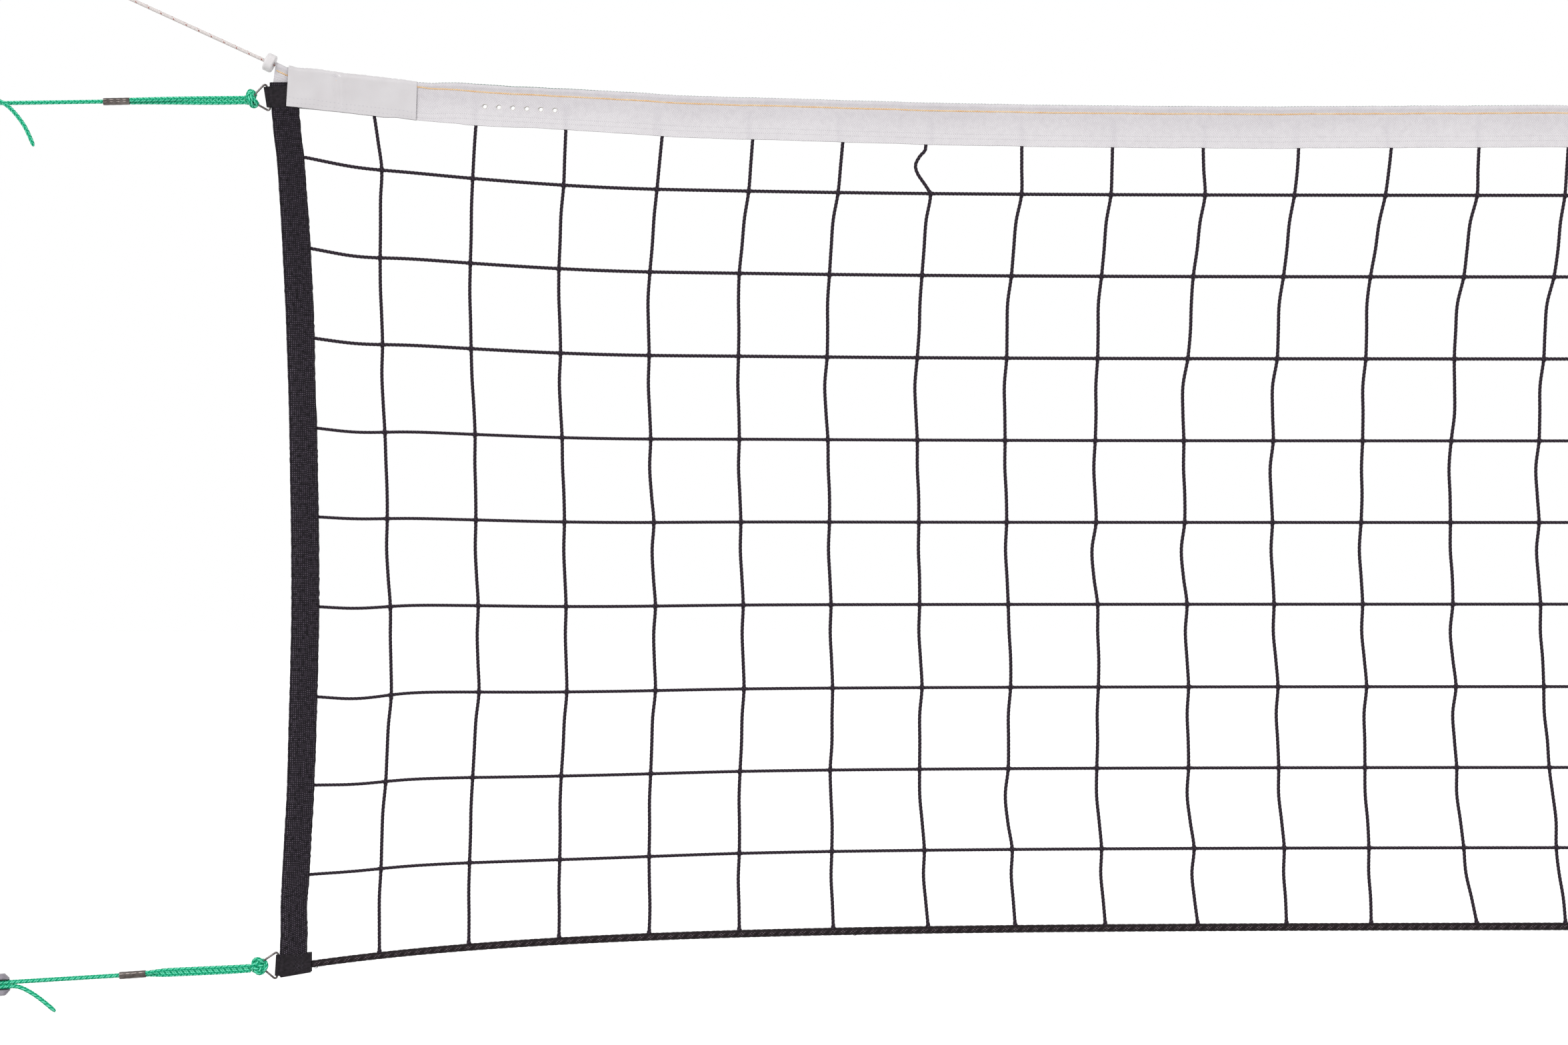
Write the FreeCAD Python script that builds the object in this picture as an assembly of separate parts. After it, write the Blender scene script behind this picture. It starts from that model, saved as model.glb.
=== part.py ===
import FreeCAD, Part
import math
import os

# Volleyball net with its head rope, side bands, corner rings and tension lines.
# The net hangs in the XZ plane: +X runs along it, +Z is up, and it is looked at from -Y.
# The origin is the middle of the net without its free cords. All lengths are millimetres.
# "Inset" is the distance inwards from the outer edge of the nearer side band.

Vector = FreeCAD.Vector

# Net
net_length = 9500.0
mesh = 100.0
row_count = 9
strand_count = 92
twine = 2.8
first_strand_inset = 116.0
second_cell = 112.0
first_foot_inset = 119.0
first_row_drop = 106.0
slack_share = 0.904
net_sag = 43.2
net_settle_head = 230.0
net_settle_foot = 300.0
level_run = 40.0
waist_push = 13.0
waist_pull = 52.0
layer_gap = 0.1

# Top tape, folded over the head rope
tape_width = 46.0
tape_cloth = 0.8
tape_inset = 5.0
tape_lift_run = 13.0
tape_sag = 45.5
tape_settle = 370.0
tape_neck = 4.0
fold_flats = 5

# Lacing holes through the tape near each end
hole_count = 6
hole_diameter = 4.6
hole_pitch = 15.6
hole_inset = 239.0
hole_drop = 26.0

# Head rope and its stopper
head_rope = 4.0
rope_slope = 24.6
stopper_diameter = 20.0
stopper_length = 11.0
stopper_bevel = 1.6
stopper_stand_off = 2.4
stopper_flats = 16
head_rope_run = 200.0
ferrule_length = 26.0
ferrule_wall = 1.2
head_eye_width = 20.0
head_eye_length = 50.0
head_eye_mouth = 8.5
head_eye_neck = 15.5

# Bottom rope
bottom_rope = 8.0
bottom_rope_flats = 8

# Side bands of folded webbing
band_width = 30.0
webbing = 1.4
band_drop = 23.0
band_bow = 18.0
band_foot_shift = 11.4
band_fold_bevel = 1.2
band_spread_run = 34.0
band_taper_run = 14.0

# Corner loops and triangle rings
loop_width = 23.5
loop_length = 39.0
ring_drop = 39.0
ring_wire = 2.3
ring_depth = 19.0
ring_corner = 2.2
ring_side_room = 0.3
bar_stand_off = 3.2
loop_flats = 5
wire_flats = 6

# Sleeve over each end of the tape
sleeve_inset = 18.0
sleeve_length = 146.0
sleeve_skin = 0.6
sleeve_shoulder = 38.0
sleeve_waist = 58.0

# Tension lines: an eye hitched on the ring, a crimp sleeve, one cord, and a cleat on its loop
tension_cord = 5.0
crimp_length = 29.5
crimp_wall = 1.1
crimp_bevel = 0.5
hitch_depth = 12.0
hitch_spread = 3.3
leg_spacing = 5.2
cleat_length = 32.0
cleat_width = 24.0
cleat_depth = 12.0
cleat_corner = 5.0
cleat_bevel = 2.0
cleat_lip = 1.5
cleat_travel = 20.0
pole_loop_stand_off = 14.0
pole_loop_length = 42.0
pole_loop_width = 24.0
cord_flats = 6

# Clearances
soft_gap = 0.2
slide_gap = 0.3
rope_gap = 0.6

# Each corner's own sizes: slope of its line, eye and standing lengths, hitch, and the tail's way
TOP = {
    "slope": 1.25,
    "eye_length": 135.7,
    "standing_length": 149.0,
    "hitch_width": 14.0,
    "hitch_height": 21.0,
    "hitch_beyond": 3.8,
    "legs_front_to_back": True,
    "tail": [(12.0, 2.5), (29.0, 4.0), (43.0, -3.5), (56.0, -18.5), (65.0, -33.5), (71.0, -50.0)],
}
BOTTOM = {
    "slope": 4.0,
    "eye_length": 128.5,
    "standing_length": 123.5,
    "hitch_width": 21.0,
    "hitch_height": 19.6,
    "hitch_beyond": 14.7,
    "legs_front_to_back": False,
    "tail": [(9.0, 0.3), (24.0, -8.0), (39.0, -19.4), (51.8, -31.6)],
}

# Sizes that follow from the ones above
half_length = net_length / 2
ring_half_height = loop_width / 2 + ring_side_room + ring_corner + ring_wire / 2
net_height = first_row_drop + row_count * mesh + ring_half_height
z_top = net_height / 2
z_foot = z_top - first_row_drop - row_count * mesh
second_strand_inset = first_strand_inset + second_cell
head_pitch = (net_length - 2 * second_strand_inset) / (strand_count - 3)
foot_pitch = (net_length - 2 * first_foot_inset) / (strand_count - 1)
tape_gap = twine / 2 + soft_gap
tape_half = tape_gap + tape_cloth
fold_inner = head_rope / 2 + rope_gap
fold_outer = fold_inner + tape_cloth
band_gap_wide = tape_half + soft_gap
band_gap_narrow = twine / 2 + soft_gap
band_top = z_top - band_drop
band_foot = z_foot + bottom_rope / 2 + slide_gap
loop_gap = max(band_gap_wide + webbing, bottom_rope / 2) + soft_gap
pole_loop_start = cleat_travel + pole_loop_stand_off

# Stations along the net, as insets: close together where it sags, then straight to the middle
net_stations = [tape_inset, sleeve_inset, level_run, sleeve_waist, 118.0, 200.0, 340.0, 500.0, 750.0, 1100.0]


def tape_top(inset):
    """Height of the tape's upper edge: it lifts with the rope at its end and sags towards the middle."""
    lift_end = tape_inset + tape_lift_run
    lift = tape_lift_run * math.tan(math.radians(rope_slope))
    if inset < lift_end:
        return z_top - (inset - tape_inset) / tape_lift_run * lift
    return z_top - lift - tape_sag * (1 - math.exp(-(inset - lift_end) / tape_settle))


def row_height(row, inset):
    """Height of a horizontal twine: a mesh apart at the band, and closer where the net hangs slack."""
    at_band = z_top - first_row_drop - row * mesh
    in_middle = z_top - first_row_drop - net_sag - row * mesh * slack_share
    settle = net_settle_head + (net_settle_foot - net_settle_head) * row / row_count
    return in_middle + (at_band - in_middle) * math.exp(-max(inset - level_run, 0.0) / settle)


def waist(inset, share):
    """How far a strand leans towards the middle at a share of its height, from 0 at the tape to 1."""
    reach = waist_push * (1 - inset / half_length) - waist_pull * math.sin(math.pi * inset / half_length)
    return reach * math.sin(math.pi * share)


def band_edge(z):
    """Inset of the side band's outer edge at a height: the band bows towards the net."""
    share = (band_top - z) / (band_top - band_foot)
    return band_foot_shift * share + band_bow * math.sin(math.pi * min(max(share, 0.0), 1.0))


def left(inset, y, z):
    """A point at the left end from its inset."""
    return Vector(inset - half_length, y, z)


def both_ends(make_point, insets):
    """A path along the whole net: the left end's points, then the same points mirrored."""
    near = [make_point(inset) for inset in insets]
    far = [Vector(-p.x, p.y, p.z) for p in reversed(near)]
    return near + far


def skin(sections, closed=False):
    """A solid of flat faces through polygons whose matching sides are parallel."""
    faces = []
    count = len(sections[0])
    pairs = list(zip(sections, sections[1:]))
    if closed:
        pairs.append((sections[-1], sections[0]))
    for here, there in pairs:
        for j in range(count):
            k = (j + 1) % count
            faces.append(Part.Face(Part.makePolygon([here[j], here[k], there[k], there[j], here[j]])))
    if not closed:
        for end in (sections[0], sections[-1]):
            faces.append(Part.Face(Part.makePolygon(end + end[:1])))
    shell = Part.Shell(faces)
    shell.sewShape()
    solid = Part.Solid(shell)
    if solid.Volume < 0:
        solid.reverse()
    return solid


def faceted_tube(path, diameter, sides, facing=Vector(0, 1, 0), closed=False):
    """A tube of flat faces along a path, mitred at its points, with one flat turned to facing."""
    runs = [(b - a).normalize() for a, b in zip(path, path[1:])]
    if closed:
        runs.append((path[0] - path[-1]).normalize())
    first = runs[0]
    across = (facing - first * facing.dot(first)).normalize()
    beside = first.cross(across)
    corner = diameter / 2 / math.cos(math.pi / sides)
    turns = [(j + 0.5) * 2 * math.pi / sides for j in range(sides)]
    ring = [path[0] + across * (corner * math.cos(a)) + beside * (corner * math.sin(a)) for a in turns]
    if closed:
        ring = onto_mitre(ring, path[0], first, runs[-1] + first)
    sections = [ring]
    for i in range(1, len(path)):
        ahead = runs[i] if i < len(runs) else runs[i - 1]
        ring = onto_mitre(ring, path[i], runs[i - 1], runs[i - 1] + ahead)
        sections.append(ring)
    return skin(sections, closed)


def onto_mitre(ring, point, run, normal):
    """The corners of a ring, carried along a run to the mitre plane through a point."""
    return [corner + run * ((point - corner).dot(normal) / run.dot(normal)) for corner in ring]


def rounded_wire(points):
    """Straight runs joined by tangent arcs, each as large as its two runs allow, and the arcs' radii."""
    edges = []
    radii = []
    start = points[0]
    for before, corner, after in zip(points, points[1:], points[2:]):
        come = (corner - before)
        go = (after - corner)
        turn = come.getAngle(go)
        back = 0.45 * min(come.Length, go.Length)
        radii.append(back / math.tan(turn / 2))
        come.normalize()
        go.normalize()
        enter = corner - come * back
        leave = corner + go * back
        inward = (go - come).normalize()
        centre = corner + inward * math.hypot(radii[-1], back)
        middle = centre - inward * radii[-1]
        edges.append(Part.LineSegment(start, enter).toShape())
        edges.append(Part.Arc(enter, middle, leave).toShape())
        start = leave
    edges.append(Part.LineSegment(start, points[-1]).toShape())
    return Part.Wire(edges), radii


def cord_tube(points, diameter):
    """A cord with an eight-sided section along straight runs and arcs, and its tightest radius."""
    wire, radii = rounded_wire(points)
    run = (points[1] - points[0]).normalize()
    across = (Vector(0, 1, 0) - run * run.y).normalize()
    beside = run.cross(across)
    corner = diameter / 2 / math.cos(math.pi / cord_flats)
    turns = [(j + 0.5) * 2 * math.pi / cord_flats for j in range(cord_flats)]
    ring = [points[0] + across * (corner * math.cos(a)) + beside * (corner * math.sin(a)) for a in turns]
    section = Part.makePolygon(ring + ring[:1])
    pipe = wire.makePipeShell([section], True, False)
    return pipe, wire.Length, min(radii)


def slot_outline(width, height, flats=5):
    """Corners (y, z) of a slot with round ends, of the given width in Y and height in Z."""
    radius = width / 2
    tall = (height - width) / 2
    upper = [math.pi * i / flats for i in range(flats + 1)]
    corners = [(radius * math.cos(a), tall + radius * math.sin(a)) for a in upper]
    return corners + [(-y, -z) for y, z in corners]


def pressed_sleeve(width, height, wall, length, bevel):
    """An oval tube along -X from the origin, with bevelled ends, round a slot of the given size."""
    inside = slot_outline(width, height)
    full = slot_outline(width + 2 * wall, height + 2 * wall)
    small = slot_outline(width + 2 * wall - 2 * bevel, height + 2 * wall - 2 * bevel)
    stations = [(0, inside), (0, small), (bevel, full), (length - bevel, full), (length, small), (length, inside)]
    return skin([[Vector(-x, y, z) for y, z in outline] for x, outline in stations], closed=True)


def turned(profile, sides):
    """A ring turned about X with flat faces, from a closed profile of (x, radius) pairs."""
    turns = [2 * math.pi * (i + 0.5) / sides for i in range(sides)]
    sections = []
    for x, radius in profile:
        corner = radius / math.cos(math.pi / sides)
        sections.append([Vector(-x, corner * math.cos(a), corner * math.sin(a)) for a in turns])
    return skin(sections, closed=True)


# Net twines

def make_vertical_strands():
    """The upright twines, from inside the tape down to the bottom rope, each leaning at its waist."""
    shares = [0.0, 0.5, 1.0]
    strands = []
    for k in range(strand_count // 2):
        head_inset = second_strand_inset + (k - 1) * head_pitch if k else first_strand_inset
        foot_inset = first_foot_inset + k * foot_pitch
        head = tape_top(head_inset) - fold_outer - tape_neck - twine
        foot = row_height(row_count, foot_inset) + bottom_rope / 2 + slide_gap + twine * 0.2
        path = []
        for share in shares:
            inset = head_inset + (foot_inset - head_inset) * share
            path.append(left(inset + waist(inset, share), 0, head + (foot - head) * share))
        strand = faceted_tube(path, twine, 6)
        strands += [strand, mirrored(strand)]
    return Part.Compound(strands)


def make_horizontal_strands():
    """The level twines, in front of the upright ones, with their ends sewn into the side bands."""
    strands = []
    front = -(twine + layer_gap)
    for row in range(row_count):
        edge = band_edge(row_height(row, 0.0))
        start = edge + webbing + twine
        leave = edge + band_width + twine
        insets = [start, leave, leave + 8 * twine] + net_stations[5:]

        def point(inset):
            depth = 0.0 if inset <= leave else front
            return left(inset, depth, row_height(row, inset))

        strands.append(faceted_tube(both_ends(point, insets), twine, 6))
    return Part.Compound(strands)


# Tape and ropes

def tape_section(inset):
    """The folded tape's outline at one station: round the rope above, two cloths below."""
    top = tape_top(inset)
    bottom = tape_top(max(inset, tape_inset + tape_lift_run)) - tape_width
    centre = top - fold_outer
    neck = centre - tape_neck
    arc = [math.pi * (1 - i / fold_flats) for i in range(fold_flats + 1)]
    outside = [(fold_outer * math.cos(a), centre + fold_outer * math.sin(a)) for a in arc]
    inside = [(fold_inner * math.cos(a), centre + fold_inner * math.sin(a)) for a in reversed(arc)]
    outline = [(-tape_half, bottom), (-tape_half, neck)] + outside + [(tape_half, neck), (tape_half, bottom)]
    outline += [(tape_gap, bottom), (tape_gap, neck)] + inside + [(-tape_gap, neck), (-tape_gap, bottom)]
    return outline


def across_section(inset, outline, side=1):
    """An outline of (y, z) pairs stood up across the net, at the left end or mirrored."""
    return [Vector(side * (inset - half_length), y, z) for y, z in outline]


def hole_places():
    """The lacing holes' centres at the left end, as insets and heights."""
    insets = [hole_inset + i * hole_pitch for i in range(hole_count)]
    return [(inset, tape_top(inset) - hole_drop) for inset in insets]


def make_top_tape():
    """The twill tape, folded over the head rope, with its lacing holes."""
    near = [across_section(s, tape_section(s)) for s in net_stations]
    far = [across_section(s, tape_section(s), -1) for s in reversed(net_stations)]
    tape = skin(near + far)
    through = 4 * tape_half
    drills = []
    for inset, z in hole_places():
        drill = Part.makeCylinder(hole_diameter / 2, through, left(inset, -through / 2, z), Vector(0, 1, 0))
        drills += [drill, mirrored(drill)]
    return tape.cut(Part.Compound(drills))


def make_head_rope():
    """The rope that lies in the tape's fold, from one end of the tape to the other."""
    path = both_ends(lambda s: left(s, 0, tape_top(s) - fold_outer), net_stations)
    return faceted_tube(path, head_rope, cord_flats)


def make_bottom_rope():
    """The braided rope along the foot of the net, sewn into the lower corner loops."""
    insets = [band_foot_shift + bottom_rope / 2, level_run] + net_stations[4:]
    path = both_ends(lambda s: left(s, 0, row_height(row_count, s)), insets)
    return faceted_tube(path, bottom_rope, bottom_rope_flats)


def rope_direction():
    """The way the head rope leaves the tape at the left end."""
    angle = math.radians(rope_slope)
    return Vector(-math.cos(angle), 0, math.sin(angle))


def rope_exit():
    """Where the head rope leaves the tape at the left end."""
    return left(tape_inset, 0, tape_top(tape_inset) - fold_outer)


def along_rope(distance, above=0.0):
    """A point beyond the rope's exit, above or below its line."""
    way = rope_direction()
    up = Vector(-way.z, 0, way.x) * -1
    return rope_exit() + way * distance + up * above


def head_rope_route():
    """The free head rope: taut past its ferrule, round its end eye and back into the ferrule."""
    eye = head_rope_run + ferrule_length
    low = -(head_rope + rope_gap)
    upper = (head_eye_width + low) / 2
    lower = (low - head_eye_width) / 2
    open_at = eye + head_eye_mouth
    wide_at = open_at + head_eye_neck
    end_at = eye + head_eye_length
    out = [along_rope(0), along_rope(open_at), along_rope(wide_at, upper), along_rope(end_at, upper)]
    back = [along_rope(end_at, lower), along_rope(wide_at, lower), along_rope(open_at, low)]
    return out + back + [along_rope(eye - head_eye_mouth, low)]


def make_head_rope_end():
    """The free end of the head rope with its end eye."""
    tube, length, radius = cord_tube(head_rope_route(), head_rope)
    report_cord("head rope end", tube, length, radius, head_rope)
    return tube


def make_ferrule():
    """The oval ferrule that holds the head rope's end eye shut."""
    width = head_rope / math.cos(math.pi / cord_flats) + 2 * slide_gap
    height = width + head_rope + rope_gap
    ferrule = pressed_sleeve(width, height, ferrule_wall, ferrule_length, crimp_bevel)
    ferrule.rotate(Vector(0, 0, 0), Vector(0, 1, 0), rope_slope)
    ferrule.translate(along_rope(head_rope_run, -(head_rope + rope_gap) / 2))
    return ferrule


def make_stopper():
    """The bevelled plastic stopper on the head rope, against the end of the tape."""
    bore = head_rope / 2 / math.cos(math.pi / cord_flats) + slide_gap
    radius = stopper_diameter / 2
    end = stopper_length
    profile = [
        (0, bore),
        (0, radius - 2 * stopper_bevel),
        (stopper_bevel / 2, radius - stopper_bevel / 2),
        (2 * stopper_bevel, radius),
        (end - 2 * stopper_bevel, radius),
        (end - stopper_bevel / 2, radius - stopper_bevel / 2),
        (end, radius - 2 * stopper_bevel),
        (end, bore),
    ]
    stopper = turned(profile, stopper_flats)
    stopper.rotate(Vector(0, 0, 0), Vector(0, 1, 0), rope_slope)
    stopper.translate(along_rope(stopper_stand_off))
    return stopper


# Side bands, loops, rings and sleeves

def band_section(z, gap):
    """The folded band's outline at one height, open towards the net."""
    edge = band_edge(z)
    out = gap + webbing
    open_edge = edge + band_width
    bend = edge + band_fold_bevel
    inner = edge + webbing
    inner_bend = inner + band_fold_bevel * 0.7
    front = [(open_edge, -out), (bend, -out), (edge, -out + band_fold_bevel)]
    back = [(edge, out - band_fold_bevel), (bend, out), (open_edge, out)]
    hollow = [(open_edge, gap), (inner_bend, gap), (inner, gap - band_fold_bevel * 0.7)]
    hollow += [(inner, -gap + band_fold_bevel * 0.7), (inner_bend, -gap), (open_edge, -gap)]
    return [left(x, y, z) for x, y in front + back + hollow]


def make_side_band():
    """The side band: spread round the tape at its head, flat over the twine ends, spread at its foot."""
    upper = band_top - band_spread_run
    lower = band_foot + band_spread_run
    flat = 7
    heights = [(band_top, band_gap_wide), (upper, band_gap_wide)]
    first = upper - band_taper_run
    last = lower + band_taper_run
    heights += [(first + (last - first) * i / flat, band_gap_narrow) for i in range(flat + 1)]
    heights += [(lower, band_gap_wide), (band_foot, band_gap_wide)]
    return skin([band_section(z, gap) for z, gap in heights])


def ring_centre(corner):
    """The middle of a ring's upright bar at the left end."""
    z = z_top - ring_drop if corner is TOP else z_foot
    return left(band_edge(z) - bar_stand_off, 0, z)


def make_corner_loop(corner):
    """Webbing round the ring's bar and back along both sides of the side band."""
    bar = ring_centre(corner)
    inner = ring_wire / 2 + ring_side_room + 0.1
    outer = inner + webbing
    spread = bar_stand_off
    end = loop_length - outer

    def wall(radius, half):
        """Wall points (x, y) from the front leg's end, round the bar, to the back leg's end."""
        turns = [math.pi * i / loop_flats for i in range(loop_flats + 1)]
        arc = [(-radius * math.sin(a), -radius * math.cos(a)) for a in turns]
        return [(end, -half), (spread, -half)] + arc + [(spread, half), (end, half)]

    outline = wall(outer, loop_gap + webbing) + wall(inner, loop_gap)[::-1]
    half_width = loop_width / 2
    return skin([[bar + Vector(x, y, z) for x, y in outline] for z in (-half_width, half_width)])


def ring_path(centre):
    """The triangle ring's centre line: an upright bar, two sides and a tip, with rounded corners."""
    bar_half = loop_width / 2 + ring_side_room
    lean = math.atan2(bar_half, ring_depth - ring_corner)
    path = []
    upper = centre + Vector(-ring_corner, 0, bar_half)
    lower = centre + Vector(-ring_corner, 0, -bar_half)
    tip = centre + Vector(-ring_depth + ring_corner, 0, 0)
    steps = 3
    corners = [
        (upper, 0.0, math.pi / 2 + lean),
        (tip, math.pi / 2 + lean, 3 * math.pi / 2 - lean),
        (lower, 3 * math.pi / 2 - lean, 2 * math.pi),
    ]
    for middle, start, stop in corners:
        for i in range(steps + 1):
            a = start + (stop - start) * i / steps
            path.append(middle + Vector(ring_corner * math.cos(a), 0, ring_corner * math.sin(a)))
    return path


def make_ring(corner):
    """The steel triangle ring, with its upright bar in the corner loop."""
    return faceted_tube(ring_path(ring_centre(corner)), ring_wire, wire_flats, closed=True)


def sleeve_section(inset):
    """The end sleeve's outline: wide over the corner loop, close to the tape further in."""
    wide = loop_gap + webbing + soft_gap
    close = fold_outer + soft_gap
    gap = wide if inset <= sleeve_shoulder else close
    out = gap + sleeve_skin
    top = tape_top(inset) + 2 * soft_gap
    bottom = tape_top(inset) - tape_width
    bevel = close * 0.6
    outer_bevel = bevel + sleeve_skin * 0.6
    peak = top + sleeve_skin
    outline = [(-out, bottom), (-out, peak - outer_bevel), (-out + outer_bevel, peak)]
    outline += [(out - outer_bevel, peak), (out, peak - outer_bevel), (out, bottom)]
    outline += [(gap, bottom), (gap, top - bevel), (gap - bevel, top)]
    outline += [(-gap + bevel, top), (-gap, top - bevel), (-gap, bottom)]
    return outline


def make_end_sleeve():
    """The sheet sleeve folded over the end of the tape, the side band and the corner loop."""
    stations = [sleeve_inset, sleeve_shoulder, sleeve_waist, sleeve_inset + sleeve_length]
    return skin([across_section(s, sleeve_section(s)) for s in stations])


# Tension lines

def apex(corner):
    """The middle of the ring's tip, where the line's eye is hitched."""
    return ring_centre(corner) - Vector(ring_depth, 0, 0)


def outward(corner, distance, y=0.0, above=0.0):
    """A point on a corner's line: a distance out from the ring's tip, to the side and above it."""
    angle = math.radians(corner["slope"])
    way = Vector(-math.cos(angle), 0, -math.sin(angle))
    up = Vector(-math.sin(angle), 0, math.cos(angle))
    return apex(corner) + way * distance + up * above + Vector(0, y, 0)


def placed(shape, corner, distance):
    """A shape made at the origin along -X, set on a corner's line at a distance from the tip."""
    shape.rotate(Vector(0, 0, 0), Vector(0, 1, 0), -corner["slope"])
    shape.translate(outward(corner, distance))
    return shape


def cleat_mouth(corner):
    """Distance from the ring's tip to the cleat's face on the net's side."""
    return corner["eye_length"] + crimp_length + corner["standing_length"]


def make_hitch(corner):
    """The hitch of the eye round the ring's tip, as a bevelled barrel clear of the wire."""
    middle = apex(corner) + Vector(corner["hitch_width"] / 2 - corner["hitch_beyond"], 0, 0)
    shape = []
    for share, size in ((-1, 0.55), (-0.6, 1.0), (0.6, 1.0), (1, 0.55)):
        z = share * corner["hitch_height"] / 2
        across = corner["hitch_width"] / 2 * size
        deep = hitch_depth / 2 * size
        bevel = 0.35 * size * hitch_depth
        outline = [(across, deep - bevel), (across - bevel, deep), (bevel - across, deep), (-across, deep - bevel)]
        outline += [(-x, -y) for x, y in outline]
        shape.append([middle + Vector(x, y, z) for x, y in outline])
    clear = faceted_tube(ring_path(ring_centre(corner)), ring_wire + 2 * soft_gap, wire_flats, closed=True)
    return skin(shape).cut(clear)


def make_eye_strands(corner):
    """The doubled cord between the hitch and the crimp sleeve."""
    start = corner["hitch_beyond"] + 2 * slide_gap
    end = corner["eye_length"]
    near = tension_cord / 2 + soft_gap
    strands = []
    for side in (1, -1):
        path = [outward(corner, start, 0, side * hitch_spread), outward(corner, end, 0, side * near)]
        strands.append(faceted_tube(path, tension_cord, cord_flats))
    return Part.Compound(strands)


def make_crimp_sleeve(corner):
    """The steel sleeve pressed over the cord where its eye closes."""
    width = tension_cord / math.cos(math.pi / cord_flats) + slide_gap
    sleeve = pressed_sleeve(width, width + slide_gap, crimp_wall, crimp_length, crimp_bevel)
    return placed(sleeve, corner, corner["eye_length"] + soft_gap)


def cord_route(corner):
    """A tension cord: out through the cleat, round its loop, back through the cleat and down."""
    mouth = cleat_mouth(corner)
    out = mouth + cleat_length
    legs_turned = corner["legs_front_to_back"]

    def point(distance, aside, above=0.0):
        """A point on the line; aside is towards the returning leg, below it or in front of it."""
        if legs_turned:
            return outward(corner, distance, -aside, above)
        return outward(corner, distance, 0.0, above - aside)

    start = corner["eye_length"] + soft_gap
    near = (leg_spacing - pole_loop_width) / 2
    far = (leg_spacing + pole_loop_width) / 2
    widest = pole_loop_start + pole_loop_length / 2
    end = pole_loop_start + pole_loop_length
    loop = [(pole_loop_start, 0.0), (widest, near), (end, near), (end, far), (widest, far),
            (pole_loop_start, leg_spacing)]
    route = [point(start, 0.0)]
    route += [point(out + distance, aside) for distance, aside in loop]
    route += [point(mouth - distance, leg_spacing, above) for distance, above in corner["tail"]]
    return route


def make_tension_cord(corner):
    """The single cord from the crimp sleeve to its free end."""
    tube, length, radius = cord_tube(cord_route(corner), tension_cord)
    report_cord("tension cord", tube, length, radius, tension_cord)
    return tube


def make_cleat(corner):
    """The two-jawed cleat: both legs of the cord lie in its channel, which is open to one side."""
    half = cleat_width / 2
    cut = cleat_corner
    deep = cleat_depth / 2

    def plate(y, inside):
        """The block's outline at a depth, drawn in from its rim."""
        tall = half - inside
        back = cut - inside * 0.41
        end = cleat_length - inside
        corners = [(inside, -tall + back), (inside + back, -tall), (end - back, -tall), (end, -tall + back)]
        corners += [(end, tall - back), (end - back, tall), (inside + back, tall), (inside, tall - back)]
        return [Vector(-x, y, z) for x, z in corners]

    block = skin([plate(-deep, cleat_bevel), plate(cleat_bevel - deep, 0), plate(deep - cleat_bevel, 0),
                  plate(deep, cleat_bevel)])
    room = tension_cord / 2 / math.cos(math.pi / cord_flats) + slide_gap
    side = leg_spacing / 2 + room
    channel = [(-deep - 1, -side - cleat_lip - 1), (-deep + cleat_lip, -side), (room - cleat_lip, -side),
               (room, -side + cleat_lip), (room, side - cleat_lip), (room - cleat_lip, side),
               (-deep + cleat_lip, side), (-deep - 1, side + cleat_lip + 1)]
    groove = skin([[Vector(x, y, z) for y, z in channel] for x in (1.0, -cleat_length - 1.0)])
    cleat = block.cut(groove)
    if corner["legs_front_to_back"]:
        cleat.rotate(Vector(0, 0, 0), Vector(1, 0, 0), -90)
        cleat.translate(Vector(0, -leg_spacing / 2, 0))
    else:
        cleat.translate(Vector(0, 0, -leg_spacing / 2))
    return placed(cleat, corner, cleat_mouth(corner))


# Output

def mirrored(shape):
    """The same piece at the other end of the net."""
    return shape.mirror(Vector(0, 0, 0), Vector(1, 0, 0))


def report_cord(name, tube, length, radius, diameter):
    """Print a cord's length and tightest radius, and how its volume fits its section."""
    section = cord_flats * math.tan(math.pi / cord_flats) * (diameter / 2) ** 2
    share = tube.Volume / (section * length)
    print(f"{name}: {length:.0f} mm long, tightest radius {radius:.1f} mm, volume ratio {share:.3f}")


def save(name, shape):
    """Check that every solid is sound and write the node's file."""
    if not shape.isValid() or not shape.Solids:
        raise ValueError(f"{name} isn't a sound solid")
    shape.exportStep(f"parts/{name}.step")
    box = shape.BoundBox
    print(f"{name}: {len(shape.Solids)} solids, x {box.XMin:.1f} {box.XMax:.1f},"
          f" y {box.YMin:.1f} {box.YMax:.1f}, z {box.ZMin:.1f} {box.ZMax:.1f}")


def main():
    """Make every piece, the left end's pieces also mirrored to the right end."""
    os.makedirs("parts", exist_ok=True)
    save("net_vertical_strands", make_vertical_strands())
    save("net_horizontal_strands", make_horizontal_strands())
    save("top_tape", make_top_tape())
    save("head_rope", make_head_rope())
    save("bottom_rope", make_bottom_rope())
    pieces = {
        "side_band": make_side_band(),
        "end_sleeve": make_end_sleeve(),
        "rope_stopper": make_stopper(),
        "head_rope_end": make_head_rope_end(),
        "head_rope_ferrule": make_ferrule(),
    }
    for place, corner in (("top", TOP), ("bottom", BOTTOM)):
        pieces[f"{place}_corner_loop"] = make_corner_loop(corner)
        pieces[f"{place}_ring"] = make_ring(corner)
        pieces[f"{place}_hitch"] = make_hitch(corner)
        pieces[f"{place}_eye_strands"] = make_eye_strands(corner)
        pieces[f"{place}_crimp_sleeve"] = make_crimp_sleeve(corner)
        pieces[f"{place}_tension_cord"] = make_tension_cord(corner)
        pieces[f"{place}_cleat"] = make_cleat(corner)
    for name, shape in pieces.items():
        save(f"left_{name}", shape)
        save(f"right_{name}", mirrored(shape))


main()
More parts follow.
